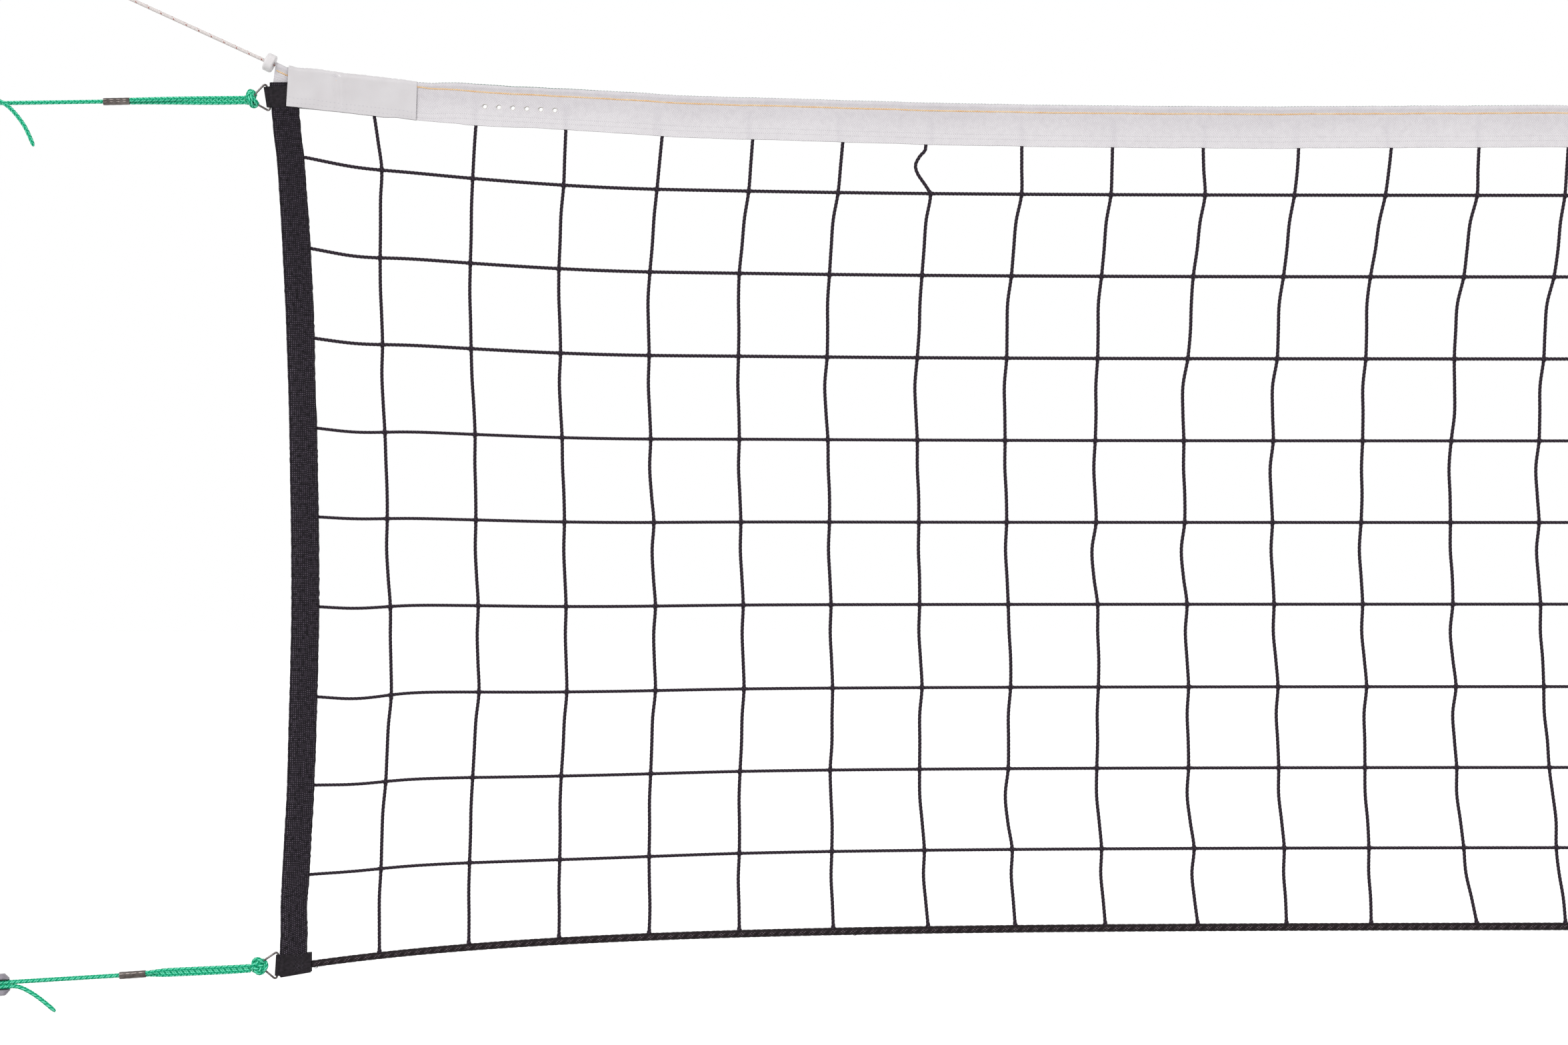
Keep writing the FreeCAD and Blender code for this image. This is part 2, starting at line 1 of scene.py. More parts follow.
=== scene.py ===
"""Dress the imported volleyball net: twines, folded tape, webbing, braided lines and fittings.

The net hangs in the XZ plane and is looked at along +Y. Sizes are millimetres until a mesh is made.
Every piece is worked out for the left end, and the right end is the same piece mirrored in X.
"""

import logging
import math
from dataclasses import dataclass, field
from enum import Enum

import bpy
import numpy as np
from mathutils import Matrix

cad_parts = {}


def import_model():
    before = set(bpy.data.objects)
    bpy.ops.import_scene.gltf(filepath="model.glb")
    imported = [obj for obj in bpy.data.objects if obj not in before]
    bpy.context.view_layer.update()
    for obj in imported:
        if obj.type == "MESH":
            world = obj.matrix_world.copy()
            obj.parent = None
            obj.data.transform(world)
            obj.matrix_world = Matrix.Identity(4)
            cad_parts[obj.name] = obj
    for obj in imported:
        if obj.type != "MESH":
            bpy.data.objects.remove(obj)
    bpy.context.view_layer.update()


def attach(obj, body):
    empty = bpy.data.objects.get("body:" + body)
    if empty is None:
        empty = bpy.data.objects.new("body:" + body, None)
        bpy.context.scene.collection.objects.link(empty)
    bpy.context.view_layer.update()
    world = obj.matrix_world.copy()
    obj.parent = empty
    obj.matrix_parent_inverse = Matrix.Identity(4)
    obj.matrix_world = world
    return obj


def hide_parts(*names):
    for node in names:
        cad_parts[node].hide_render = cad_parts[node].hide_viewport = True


log = logging.getLogger("net")

MM = 0.001
TURN = 2 * math.pi
# Distance from the net's end up to which pieces are made finely, a little beyond the photograph's edge
SEEN = 1480.0


# Meshes from numpy grids


class Ends(Enum):
    """How a patch's first and last rows are closed."""

    OPEN = "open"
    MIDDLE = "a fan round a middle point"
    FOLD = "a strip between the outer half of the row and the inner half"


@dataclass
class Patch:
    """A surface on a grid: rows run along it and columns go round it.

    Attributes:
        points: Places of the grid's points, rows by columns by 3, in millimetres.
        cloth: Distance along and across the surface at each point, in millimetres.
        relief: Height above the grooves, from 0 to 1; braid finishes paint shade and highlights by it.
        tone: A second value of each point for its finish, from 0 to 1.
        round_columns: Whether the last column joins the first.
        round_rows: Whether the last row joins the first.
        ends: How its first and last rows are closed.
    """

    points: np.ndarray
    cloth: np.ndarray | None = None
    relief: np.ndarray | None = None
    tone: np.ndarray | None = None
    round_columns: bool = True
    round_rows: bool = False
    ends: Ends = Ends.MIDDLE

    def mirrored(self) -> "Patch":
        """The same surface at the other end of the net, its columns turned round to keep it facing out."""
        flip = self.points[:, ::-1] * np.array([-1.0, 1.0, 1.0])
        values = [None if v is None else v[:, ::-1] for v in (self.cloth, self.relief, self.tone)]
        return Patch(flip, *values, self.round_columns, self.round_rows, self.ends)

    def faces(self) -> tuple[np.ndarray, np.ndarray]:
        """Four-sided faces of the grid, and the triangles of its two caps.

        Returns:
            Corner numbers of the quads, and of the triangles, whose middle points follow the grid's points.
        """
        rows, columns = self.points.shape[:2]
        i = np.arange(rows if self.round_rows else rows - 1)[:, None]
        j = np.arange(columns if self.round_columns else columns - 1)[None, :]
        up, beside = (i + 1) % rows, (j + 1) % columns
        quads = np.stack([i * columns + j, i * columns + beside, up * columns + beside, up * columns + j], -1)
        quads = quads.reshape(-1, 4)
        if self.ends is Ends.OPEN or self.round_rows:
            return quads, np.zeros((0, 3), int)
        top = (rows - 1) * columns
        if self.ends is Ends.FOLD:
            k = np.arange(columns // 2 - 1)
            strip = np.stack([k + 1, k, columns - 1 - k, columns - 2 - k], -1)
            return np.concatenate([quads, strip, top + strip[:, ::-1]]), np.zeros((0, 3), int)
        ring = np.arange(columns)
        after = (ring + 1) % columns
        first = np.stack([after, ring, np.full(columns, rows * columns)], -1)
        last = np.stack([top + ring, top + after, np.full(columns, rows * columns + 1)], -1)
        return quads, np.concatenate([first, last])


def thickened(outer: np.ndarray, cloth: np.ndarray, thick: float, tone: np.ndarray | None = None) -> Patch:
    """A sheet of some thickness from its outer surface: the inner one is outer - thick * normal.

    Args:
        outer: The outer surface's grid, in millimetres.
        cloth: Its map.
        thick: Thickness of the sheet.
        tone: Its second value.

    Returns:
        A closed patch whose columns go out along the outer surface and back along the inner one.
    """
    normal = unit(np.cross(np.gradient(outer, axis=0), np.gradient(outer, axis=1)))
    middle = outer.reshape(-1, 3).mean(0)
    if np.median(((outer - middle) * normal)[..., 1] * np.sign((outer - middle)[..., 1])) < 0:
        normal = -normal
    inner = outer - thick * normal
    values = None if tone is None else np.concatenate([tone, tone[:, ::-1]], 1)
    points = np.concatenate([outer, inner[:, ::-1]], 1)
    return Patch(points, np.concatenate([cloth, cloth[:, ::-1]], 1), None, values, ends=Ends.FOLD)


def outward_facing(points: np.ndarray, quads: np.ndarray, triangles: np.ndarray) -> bool:
    """Whether a closed surface's faces point outwards: its volume, summed over its triangles, is above 0."""
    split = np.concatenate([quads[:, [0, 1, 2]], quads[:, [0, 2, 3]], triangles])
    a, b, c = (points[split[:, k]] - points.mean(0) for k in range(3))
    return float(np.einsum("ij,ij->i", a, np.cross(b, c)).sum()) > 0


def build(
    name: str, patches: list[Patch], finish: "Finish", body: str, sharp: float = 50.0
) -> bpy.types.Object:
    """Make one mesh object of patches, in metres, dress it and let it ride on a body.

    Args:
        name: Name of the piece.
        patches: Its surfaces.
        finish: What it is made of.
        body: The CAD body that it moves with.
        sharp: Edges that turn by more than this many degrees stay sharp.

    Returns:
        The new object, at the origin.
    """
    places, loops, sizes, maps, reliefs, tones = [], [], [], [], [], []
    start = 0
    for patch in patches:
        rows, columns = patch.points.shape[:2]
        points = patch.points.reshape(-1, 3)
        quads, triangles = patch.faces()
        filler = [np.zeros((rows, columns, 2)), np.ones((rows, columns)), np.zeros((rows, columns))]
        given = [patch.cloth, patch.relief, patch.tone]
        cloth, relief, tone = (f if g is None else g for f, g in zip(filler, given))
        cloth, relief, tone = cloth.reshape(-1, 2), relief.reshape(-1), tone.reshape(-1)
        if len(triangles):
            ends = [slice(0, columns), slice(-columns, None)]
            points = np.concatenate([points] + [points[e].mean(0)[None] for e in ends])
            cloth = np.concatenate([cloth] + [cloth[e].mean(0)[None] for e in ends])
            relief = np.concatenate([relief] + [relief[e].mean()[None] for e in ends])
            tone = np.concatenate([tone] + [tone[e].mean()[None] for e in ends])
        if not outward_facing(points, quads, triangles):
            quads, triangles = quads[:, ::-1], triangles[:, ::-1]
        places.append(points)
        loops += [quads.reshape(-1) + start, triangles.reshape(-1) + start]
        sizes += [np.full(len(quads), 4), np.full(len(triangles), 3)]
        maps.append(cloth)
        reliefs.append(relief)
        tones.append(tone)
        start += len(points)
    corners = np.concatenate(loops).astype(np.int32)
    counts = np.concatenate(sizes).astype(np.int32)
    mesh = bpy.data.meshes.new(name)
    mesh.vertices.add(start)
    mesh.vertices.foreach_set("co", (np.concatenate(places) * MM).astype(np.float32).ravel())
    mesh.loops.add(len(corners))
    mesh.loops.foreach_set("vertex_index", corners)
    mesh.polygons.add(len(counts))
    mesh.polygons.foreach_set("loop_start", np.concatenate([[0], np.cumsum(counts)[:-1]]).astype(np.int32))
    mesh.update(calc_edges=True)
    layer = mesh.uv_layers.new(name="cloth")
    layer.data.foreach_set("uv", (np.concatenate(maps)[corners] * MM).astype(np.float32).ravel())
    for label, values in (("relief", reliefs), ("tone", tones)):
        attribute = mesh.attributes.new(label, "FLOAT", "POINT")
        attribute.data.foreach_set("value", np.concatenate(values).astype(np.float32))
    mesh.validate()
    mesh.shade_smooth()
    mesh.set_sharp_from_angle(angle=math.radians(sharp))
    piece = bpy.data.objects.new(name, mesh)
    bpy.context.scene.collection.objects.link(piece)
    finish.dress(piece)
    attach(piece, body)
    log.info("%s: %d faces", name, len(counts))
    return piece


# Paths and tubes


def unit(vectors: np.ndarray) -> np.ndarray:
    """Vectors along the last axis, each divided by its length."""
    return vectors / np.maximum(np.linalg.norm(vectors, axis=-1, keepdims=True), 1e-12)


def lengths_along(path: np.ndarray) -> np.ndarray:
    """Distance from a path's first point to each of its points, measured along it."""
    return np.concatenate([[0.0], np.cumsum(np.linalg.norm(np.diff(path, axis=0), axis=1))])


def evenly(path: np.ndarray, step: float) -> np.ndarray:
    """Points at even distances along a path, about a step apart, both ends kept."""
    along = lengths_along(path)
    count = max(2, int(round(along[-1] / step)) + 1)
    at = np.linspace(0.0, along[-1], count)
    return np.stack([np.interp(at, along, path[:, k]) for k in range(3)], 1)


def curved(knots: np.ndarray, step: float, closed: bool = False) -> np.ndarray:
    """A smooth path through knots, evenly stepped.

    Each stretch is a cubic whose slope at a knot is half the way from the knot before to the knot after.

    Args:
        knots: Points that the path goes through.
        step: Distance between the points returned, in millimetres.
        closed: Whether the path comes back to its first knot.

    Returns:
        The path's points. A closed path doesn't repeat its first point.
    """
    knots = np.asarray(knots, float)
    if closed:
        around = np.concatenate([knots[-1:], knots, knots[:2]])
    else:
        around = np.concatenate([2 * knots[:1] - knots[1:2], knots, 2 * knots[-1:] - knots[-2:-1]])
    a, b, c, d = around[:-3, None], around[1:-2, None], around[2:-1, None], around[3:, None]
    t = np.linspace(0.0, 1.0, 33)[None, :-1, None]
    slope_b, slope_c = (c - a) / 2, (d - b) / 2
    run = (2 * t**3 - 3 * t**2 + 1) * b + (t**3 - 2 * t**2 + t) * slope_b
    run += (3 * t**2 - 2 * t**3) * c + (t**3 - t**2) * slope_c
    dense = run.reshape(-1, 3)
    dense = np.concatenate([dense, dense[:1] if closed else knots[-1:]])
    even = evenly(dense, step)
    return even[:-1] if closed else even


def frames(path: np.ndarray, closed: bool = False) -> tuple[np.ndarray, np.ndarray]:
    """Directions across a path that turn as little as they can.

    A first sideways direction leans away from one fixed direction. How far it turns between neighbours,
    compared with the smallest turn that carries one direction onto the next, is added up and turned back.

    Args:
        path: Points of the path.
        closed: Whether it comes back to its first point.

    Returns:
        At each point, two unit vectors that are square to the path and to each other.
    """
    if closed:
        ahead = unit(np.roll(path, -1, 0) - np.roll(path, 1, 0))
    else:
        ahead = unit(np.gradient(path, axis=0))
    tries = unit(np.array([[0, 0, 1.0], [0, 1.0, 0], [1.0, 0, 0], [1, 1, 1.0], [1, -1, 1.0], [-1, 1, 1.0]]))
    clear = [np.linalg.norm(np.cross(ahead, t), axis=1).min() for t in tries]
    lean = tries[int(np.argmax(clear))]
    side = unit(np.cross(ahead, lean))
    over = np.cross(side, ahead)
    after = np.roll(ahead, -1, 0)
    total = ahead + after
    carried = side - total * ((side * after).sum(1) / (1 + (ahead * after).sum(1)))[:, None]
    turn = np.arctan2((carried * np.roll(over, -1, 0)).sum(1), (carried * np.roll(side, -1, 0)).sum(1))
    angle = np.concatenate([[0.0], np.cumsum(turn[:-1])])
    if closed:
        miss = (np.cumsum(turn)[-1] + math.pi) % TURN - math.pi
        angle = angle - miss * np.arange(len(path)) / len(path)
    cos, sin = np.cos(angle)[:, None], np.sin(angle)[:, None]
    return cos * side + sin * over, cos * over - sin * side


@dataclass(frozen=True)
class Lay:
    """How a cord is braided: columns of short slanted floats, which slant the other way in every next column.

    Attributes:
        columns: Columns round the cord, an even number.
        pitch: Distance between the floats of a column, in millimetres.
        slant: How many pitches a float rises across its column.
        depth: Height of the floats over the grooves between them, in millimetres.
        traced: Every so many floats one is the tracer yarn's, or 0 for none.
        split: How deep the groove between a float's two yarns is, from 0 to 1.
        start: Distance by which the pattern is moved along the cord, in millimetres.
        roll: Share of a turn by which the pattern is rolled round the cord.
    """

    columns: int = 4
    pitch: float = 6.7
    slant: float = 0.65
    depth: float = 0.8
    traced: int = 0
    split: float = 0.5
    start: float = 0.0
    roll: float = 0.0

    def surface(self, along: np.ndarray, angle: np.ndarray) -> tuple[np.ndarray, np.ndarray]:
        """How the braid stands up at places on its surface.

        With u from -1/2 to 1/2 across a column and way 1 or -1 by turns, floats lie where
        along / pitch + (slant u + 1/4) way is a whole number. Each is as round as a circle across its
        width, with a groove of e^(-(p / 0.07)^2) in its middle, and dips by (2 u)^4 towards the sides.

        Args:
            along: Distance along the cord.
            angle: Angle round it.

        Returns:
            Height from 0 to 1, and tone, which is 1 on a tracer's float.
        """
        where = self.columns * (angle / TURN + self.roll)
        column = np.floor(where)
        u, way = where - column - 0.5, 1 - 2 * (column % 2)
        phase = (along + self.start) / self.pitch + (self.slant * u + 0.25) * way
        number = np.rint(phase)
        round_top = np.sqrt(np.maximum(0.0, 1 - (1.94 * (phase - number)) ** 2))
        round_top = round_top * (1 - self.split * np.exp(-(((phase - number) / 0.07) ** 2)))
        relief = round_top * (1 - 0.45 * (2 * u) ** 4)
        tone = np.zeros_like(relief)
        if self.traced:
            tone = ((number + column) % self.traced == 0) & (way > 0)
        return relief, tone.astype(float)


def tube(
    path: np.ndarray,
    radius: float | np.ndarray,
    sides: int,
    lay: Lay | None = None,
    closed: bool = False,
    squash: float = 1.0,
) -> Patch:
    """A tube whose rings stand square on a path: centre + r (cos angle side + sin angle over).

    Args:
        path: Ring centres.
        radius: Radius of each ring, or of all.
        sides: Points round each ring.
        lay: How its strands are laid, if it shows them.
        closed: Whether it comes back to its start.
        squash: Width across over width along the first side.

    Returns:
        The tube, its map in distance along and round.
    """
    side, over = frames(path, closed)
    angle = np.linspace(0.0, TURN, sides, endpoint=False)[None, :]
    along = lengths_along(path)[:, None]
    reach = np.broadcast_to(np.asarray(radius, float).reshape(-1, 1), (len(path), sides)).copy()
    relief = tone = None
    if lay is not None:
        relief, tone = lay.surface(along, angle)
        reach = reach - lay.depth * (1 - relief)
    across = (reach * np.cos(angle))[:, :, None] * side[:, None] * squash
    points = path[:, None] + across + (reach * np.sin(angle))[:, :, None] * over[:, None]
    girth = np.broadcast_to(angle * np.mean(radius), reach.shape)
    cloth = np.stack([np.broadcast_to(along, reach.shape), girth], -1)
    return Patch(points, cloth, relief, tone, round_rows=closed)


def nurbs_path(name: str, route: np.ndarray) -> np.ndarray:
    """Points of the smooth spline that a route's points control, as Blender works them out.

    Args:
        name: Name for the curve while it exists.
        route: Control points, in millimetres.

    Returns:
        The spline's points, in millimetres.
    """
    curve = bpy.data.curves.new(name, "CURVE")
    curve.dimensions = "3D"
    curve.resolution_u = 48
    spline = curve.splines.new("NURBS")
    spline.points.add(len(route) - 1)
    weighted = np.concatenate([route * MM, np.ones((len(route), 1))], 1)
    spline.points.foreach_set("co", weighted.astype(np.float32).ravel())
    spline.use_endpoint_u = True
    spline.order_u = 3
    holder = bpy.data.objects.new(name, curve)
    bpy.context.scene.collection.objects.link(holder)
    bpy.context.view_layer.update()
    mesh = bpy.data.meshes.new_from_object(holder.evaluated_get(bpy.context.evaluated_depsgraph_get()))
    points = np.zeros(len(mesh.vertices) * 3, np.float32)
    mesh.vertices.foreach_get("co", points)
    bpy.data.meshes.remove(mesh)
    bpy.data.objects.remove(holder)
    bpy.data.curves.remove(curve)
    return points.reshape(-1, 3).astype(float) / MM


# Finishes


# The kinds and settings of nodes that come up most
MATHS, MIX, NOISE, RANGE = "ShaderNodeMath", "ShaderNodeMix", "ShaderNodeTexNoise", "ShaderNodeMapRange"
MULTIPLY = {"operation": "MULTIPLY"}
MULTIPLY_ADD = {"operation": "MULTIPLY_ADD"}
COLOURS = {"data_type": "RGBA"}


def linear(code: str) -> tuple[float, float, float, float]:
    """Turn an sRGB hex value such as "#34ae81" into a linear colour."""
    parts = (int(code[k : k + 2], 16) / 255 for k in (1, 3, 5))
    red, green, blue = (p / 12.92 if p <= 0.04045 else ((p + 0.055) / 1.055) ** 2.4 for p in parts)
    return red, green, blue, 1.0


def add(
    tree: bpy.types.NodeTree, kind: str, settings: dict | None = None, **inputs: object
) -> bpy.types.Node:
    """Add a node, set its settings, and give its inputs values or links.

    Args:
        tree: The node tree.
        kind: The node's type.
        settings: Names and values of the node's own settings.
        inputs: Values, output sockets, or nodes for their first output, by input name with _ for a space,
            or by _0, _1 for a number.

    Returns:
        The new node.
    """
    node = tree.nodes.new(kind)
    for name, value in (settings or {}).items():
        setattr(node, name, value)
    for name, value in inputs.items():
        key = int(name[1:]) if name[1:].isdigit() else name.replace("_", " ")
        if isinstance(value, bpy.types.Node):
            value = value.outputs[0]
        if isinstance(value, bpy.types.NodeSocket):
            tree.links.new(value, node.inputs[key])
        else:
            node.inputs[key].default_value = value
    return node


@dataclass(frozen=True)
class Finish:
    """What a piece is made of, and what shows of that.

    Attributes:
        name: The material's common name and how its surface was made.
        colour: Its colour where light falls on it plainly.
        dark: Its colour in grooves, gaps, pits and folds, painted there as shade, and in random darker marks.
        light: Its colour on raised places, painted there as a highlight, and on random rubbed places.
        roughness: From 0, a mirror, to 1, chalk.
        bump: Height of its texture, in millimetres.
        specular: Specular level, a half for plain plastic, and less on yarn that scatters what it reflects.
    """

    name: str
    colour: str
    dark: str
    light: str
    roughness: float
    bump: float
    specular: float = 0.5

    def dress(self, piece: bpy.types.Object) -> None:
        """Give a piece this finish alone, made once for all its pieces."""
        made = bpy.data.materials.get(self.name) or self.material()
        piece.data.materials.clear()
        piece.data.materials.append(made)

    def material(self) -> bpy.types.Material:
        """Make the material: a plain shader, then the texture of the kind of finish."""
        made = bpy.data.materials.new(self.name)
        made.use_nodes = True
        tree = made.node_tree
        tree.nodes.clear()
        shader = add(
            tree, "ShaderNodeBsdfPrincipled", Base_Color=linear(self.colour), Roughness=self.roughness
        )
        shader.inputs["Specular IOR Level"].default_value = self.specular
        add(tree, "ShaderNodeOutputMaterial", Surface=shader)
        self.texture(tree, shader)
        return made

    def texture(self, tree: bpy.types.NodeTree, shader: bpy.types.Node) -> None:
        """Add what shows on the surface; each kind of finish has its own."""

    def raise_by(
        self, tree: bpy.types.NodeTree, shader: bpy.types.Node, height: bpy.types.NodeSocket
    ) -> None:
        """Let a height from 0 to 1 stand up as the finish's bump."""
        bump = add(tree, "ShaderNodeBump", Height=height, Distance=self.bump * MM, Strength=1.0)
        tree.links.new(bump.outputs[0], shader.inputs["Normal"])


@dataclass(frozen=True)
class Braid(Finish):
    """Braided filament yarn: glossy strands, grooves in painted shade, and a tracer on marked strands."""

    tracer: str = "#ffffff"
    gloss: float = 0.35
    filament: float = 0.35
    rise: float = 0.72

    def texture(self, tree: bpy.types.NodeTree, shader: bpy.types.Node) -> None:
        """Painted shade and highlights by the strands' relief, with filaments as fine streaks along them."""
        relief = add(tree, "ShaderNodeAttribute", {"attribute_name": "relief"}).outputs["Fac"]
        tone = add(tree, "ShaderNodeAttribute", {"attribute_name": "tone"}).outputs["Fac"]
        where = add(tree, "ShaderNodeTexCoord").outputs["Object"]
        flecks = add(tree, NOISE, Vector=where, Scale=1 / (self.filament * 3 * MM), Detail=3.0)
        # Painted shade in the grooves and painted highlights on the floats: dark, colour and light by relief
        ramp = add(tree, "ShaderNodeValToRGB", Fac=relief)
        ramp.color_ramp.elements[0].position = 0.3
        ramp.color_ramp.elements[0].color = linear(self.dark)
        ramp.color_ramp.elements[1].position = 0.94
        ramp.color_ramp.elements[1].color = linear(self.light)
        middle = ramp.color_ramp.elements.new(self.rise)
        middle.color = linear(self.colour)
        traced = add(tree, MIX, COLOURS, _0=tone, _6=ramp, _7=linear(self.tracer))
        uneven = add(tree, RANGE, Value=flecks, To_Min=0.72, To_Max=1.2)
        mixed = add(tree, MIX, {"data_type": "RGBA", "blend_type": "MULTIPLY"}, _0=1.0, _6=traced.outputs[2])
        tree.links.new(uneven.outputs[0], mixed.inputs[7])
        tree.links.new(mixed.outputs[2], shader.inputs["Base Color"])
        shader.inputs["Coat Weight"].default_value = self.gloss
        shader.inputs["Coat Roughness"].default_value = 0.3
        self.raise_by(tree, shader, flecks.outputs["Fac"])


@dataclass(frozen=True)
class Webbing(Finish):
    """Woven strap: even rows of short floats in painted highlight over a dark ground, brighter near the fold.

    Attributes:
        float_pitch: Distance between floats in a row, in millimetres.
        row_pitch: Distance between rows, in millimetres.
        shift_at: Distance across at which the rows are half a row off, in millimetres.
        shine: How much of the floats' painted highlight shows, from 0 to 1.
    """

    float_pitch: float = 2.1
    row_pitch: float = 2.05
    shift_at: float = 18.4
    shine: float = 0.85

    def texture(self, tree: bpy.types.NodeTree, shader: bpy.types.Node) -> None:
        """Floats stand where 0.35 cos(turns across) + 0.65 cos(turns along) is high."""
        where = add(tree, "ShaderNodeUVMap", {"uv_map": "cloth"}).outputs[0]
        wobble = add(tree, NOISE, Vector=where, Scale=90.0, Detail=2.0)
        moved = add(tree, "ShaderNodeVectorMath", MULTIPLY_ADD, _0=wobble.outputs["Color"],
                    _1=(0.0009, 0.0009, 0.0), _2=where)
        parts = add(tree, "ShaderNodeSeparateXYZ", Vector=moved)
        size = add(tree, MATHS, {"operation": "ABSOLUTE"}, _0=parts.outputs[1])
        beyond = add(tree, MATHS, {"operation": "GREATER_THAN"}, _0=size, _1=self.shift_at * MM)
        moved_row = add(tree, MATHS, MULTIPLY, _0=beyond, _1=math.pi)
        across = add(tree, MATHS, MULTIPLY, _0=size, _1=TURN / (self.float_pitch * MM))
        along = add(tree, MATHS, MULTIPLY_ADD, _0=parts, _1=TURN / (self.row_pitch * MM), _2=moved_row)
        waves = [add(tree, MATHS, {"operation": "COSINE"}, _0=n).outputs[0] for n in (across, along)]
        high = add(tree, MATHS, MULTIPLY, _0=waves[1], _1=0.65)
        stand = add(tree, MATHS, MULTIPLY_ADD, _0=waves[0], _1=0.35, _2=high)
        floats = add(
            tree, RANGE, {"interpolation_type": "SMOOTHSTEP"}, Value=stand, From_Min=0.45, From_Max=0.85
        )
        patchy = add(tree, NOISE, Vector=where, Scale=260.0, Detail=3.0)
        some = add(tree, RANGE, Value=patchy, From_Min=0.3, From_Max=0.65)
        # Painted highlights on the floats, in patches, brighter near the fold and fainter high up
        glint = add(tree, MATHS, MULTIPLY, _0=floats, _1=some)
        inside = add(
            tree, RANGE, Value=size, From_Min=0.004, From_Max=0.009, To_Min=self.shine,
            To_Max=0.65 * self.shine
        )
        down = add(tree, RANGE, Value=parts, From_Min=0.15, From_Max=0.45, To_Min=1.0, To_Max=0.6)
        there = add(tree, MATHS, MULTIPLY, _0=inside, _1=down)
        shown = add(tree, MATHS, MULTIPLY, _0=glint, _1=there)
        ground = add(tree, MIX, COLOURS, _0=some, _6=linear(self.dark), _7=linear(self.colour))
        mixed = add(tree, MIX, COLOURS, _0=shown, _6=ground.outputs[2], _7=linear(self.light))
        tree.links.new(mixed.outputs[2], shader.inputs["Base Color"])
        self.raise_by(tree, shader, stand.outputs[0])


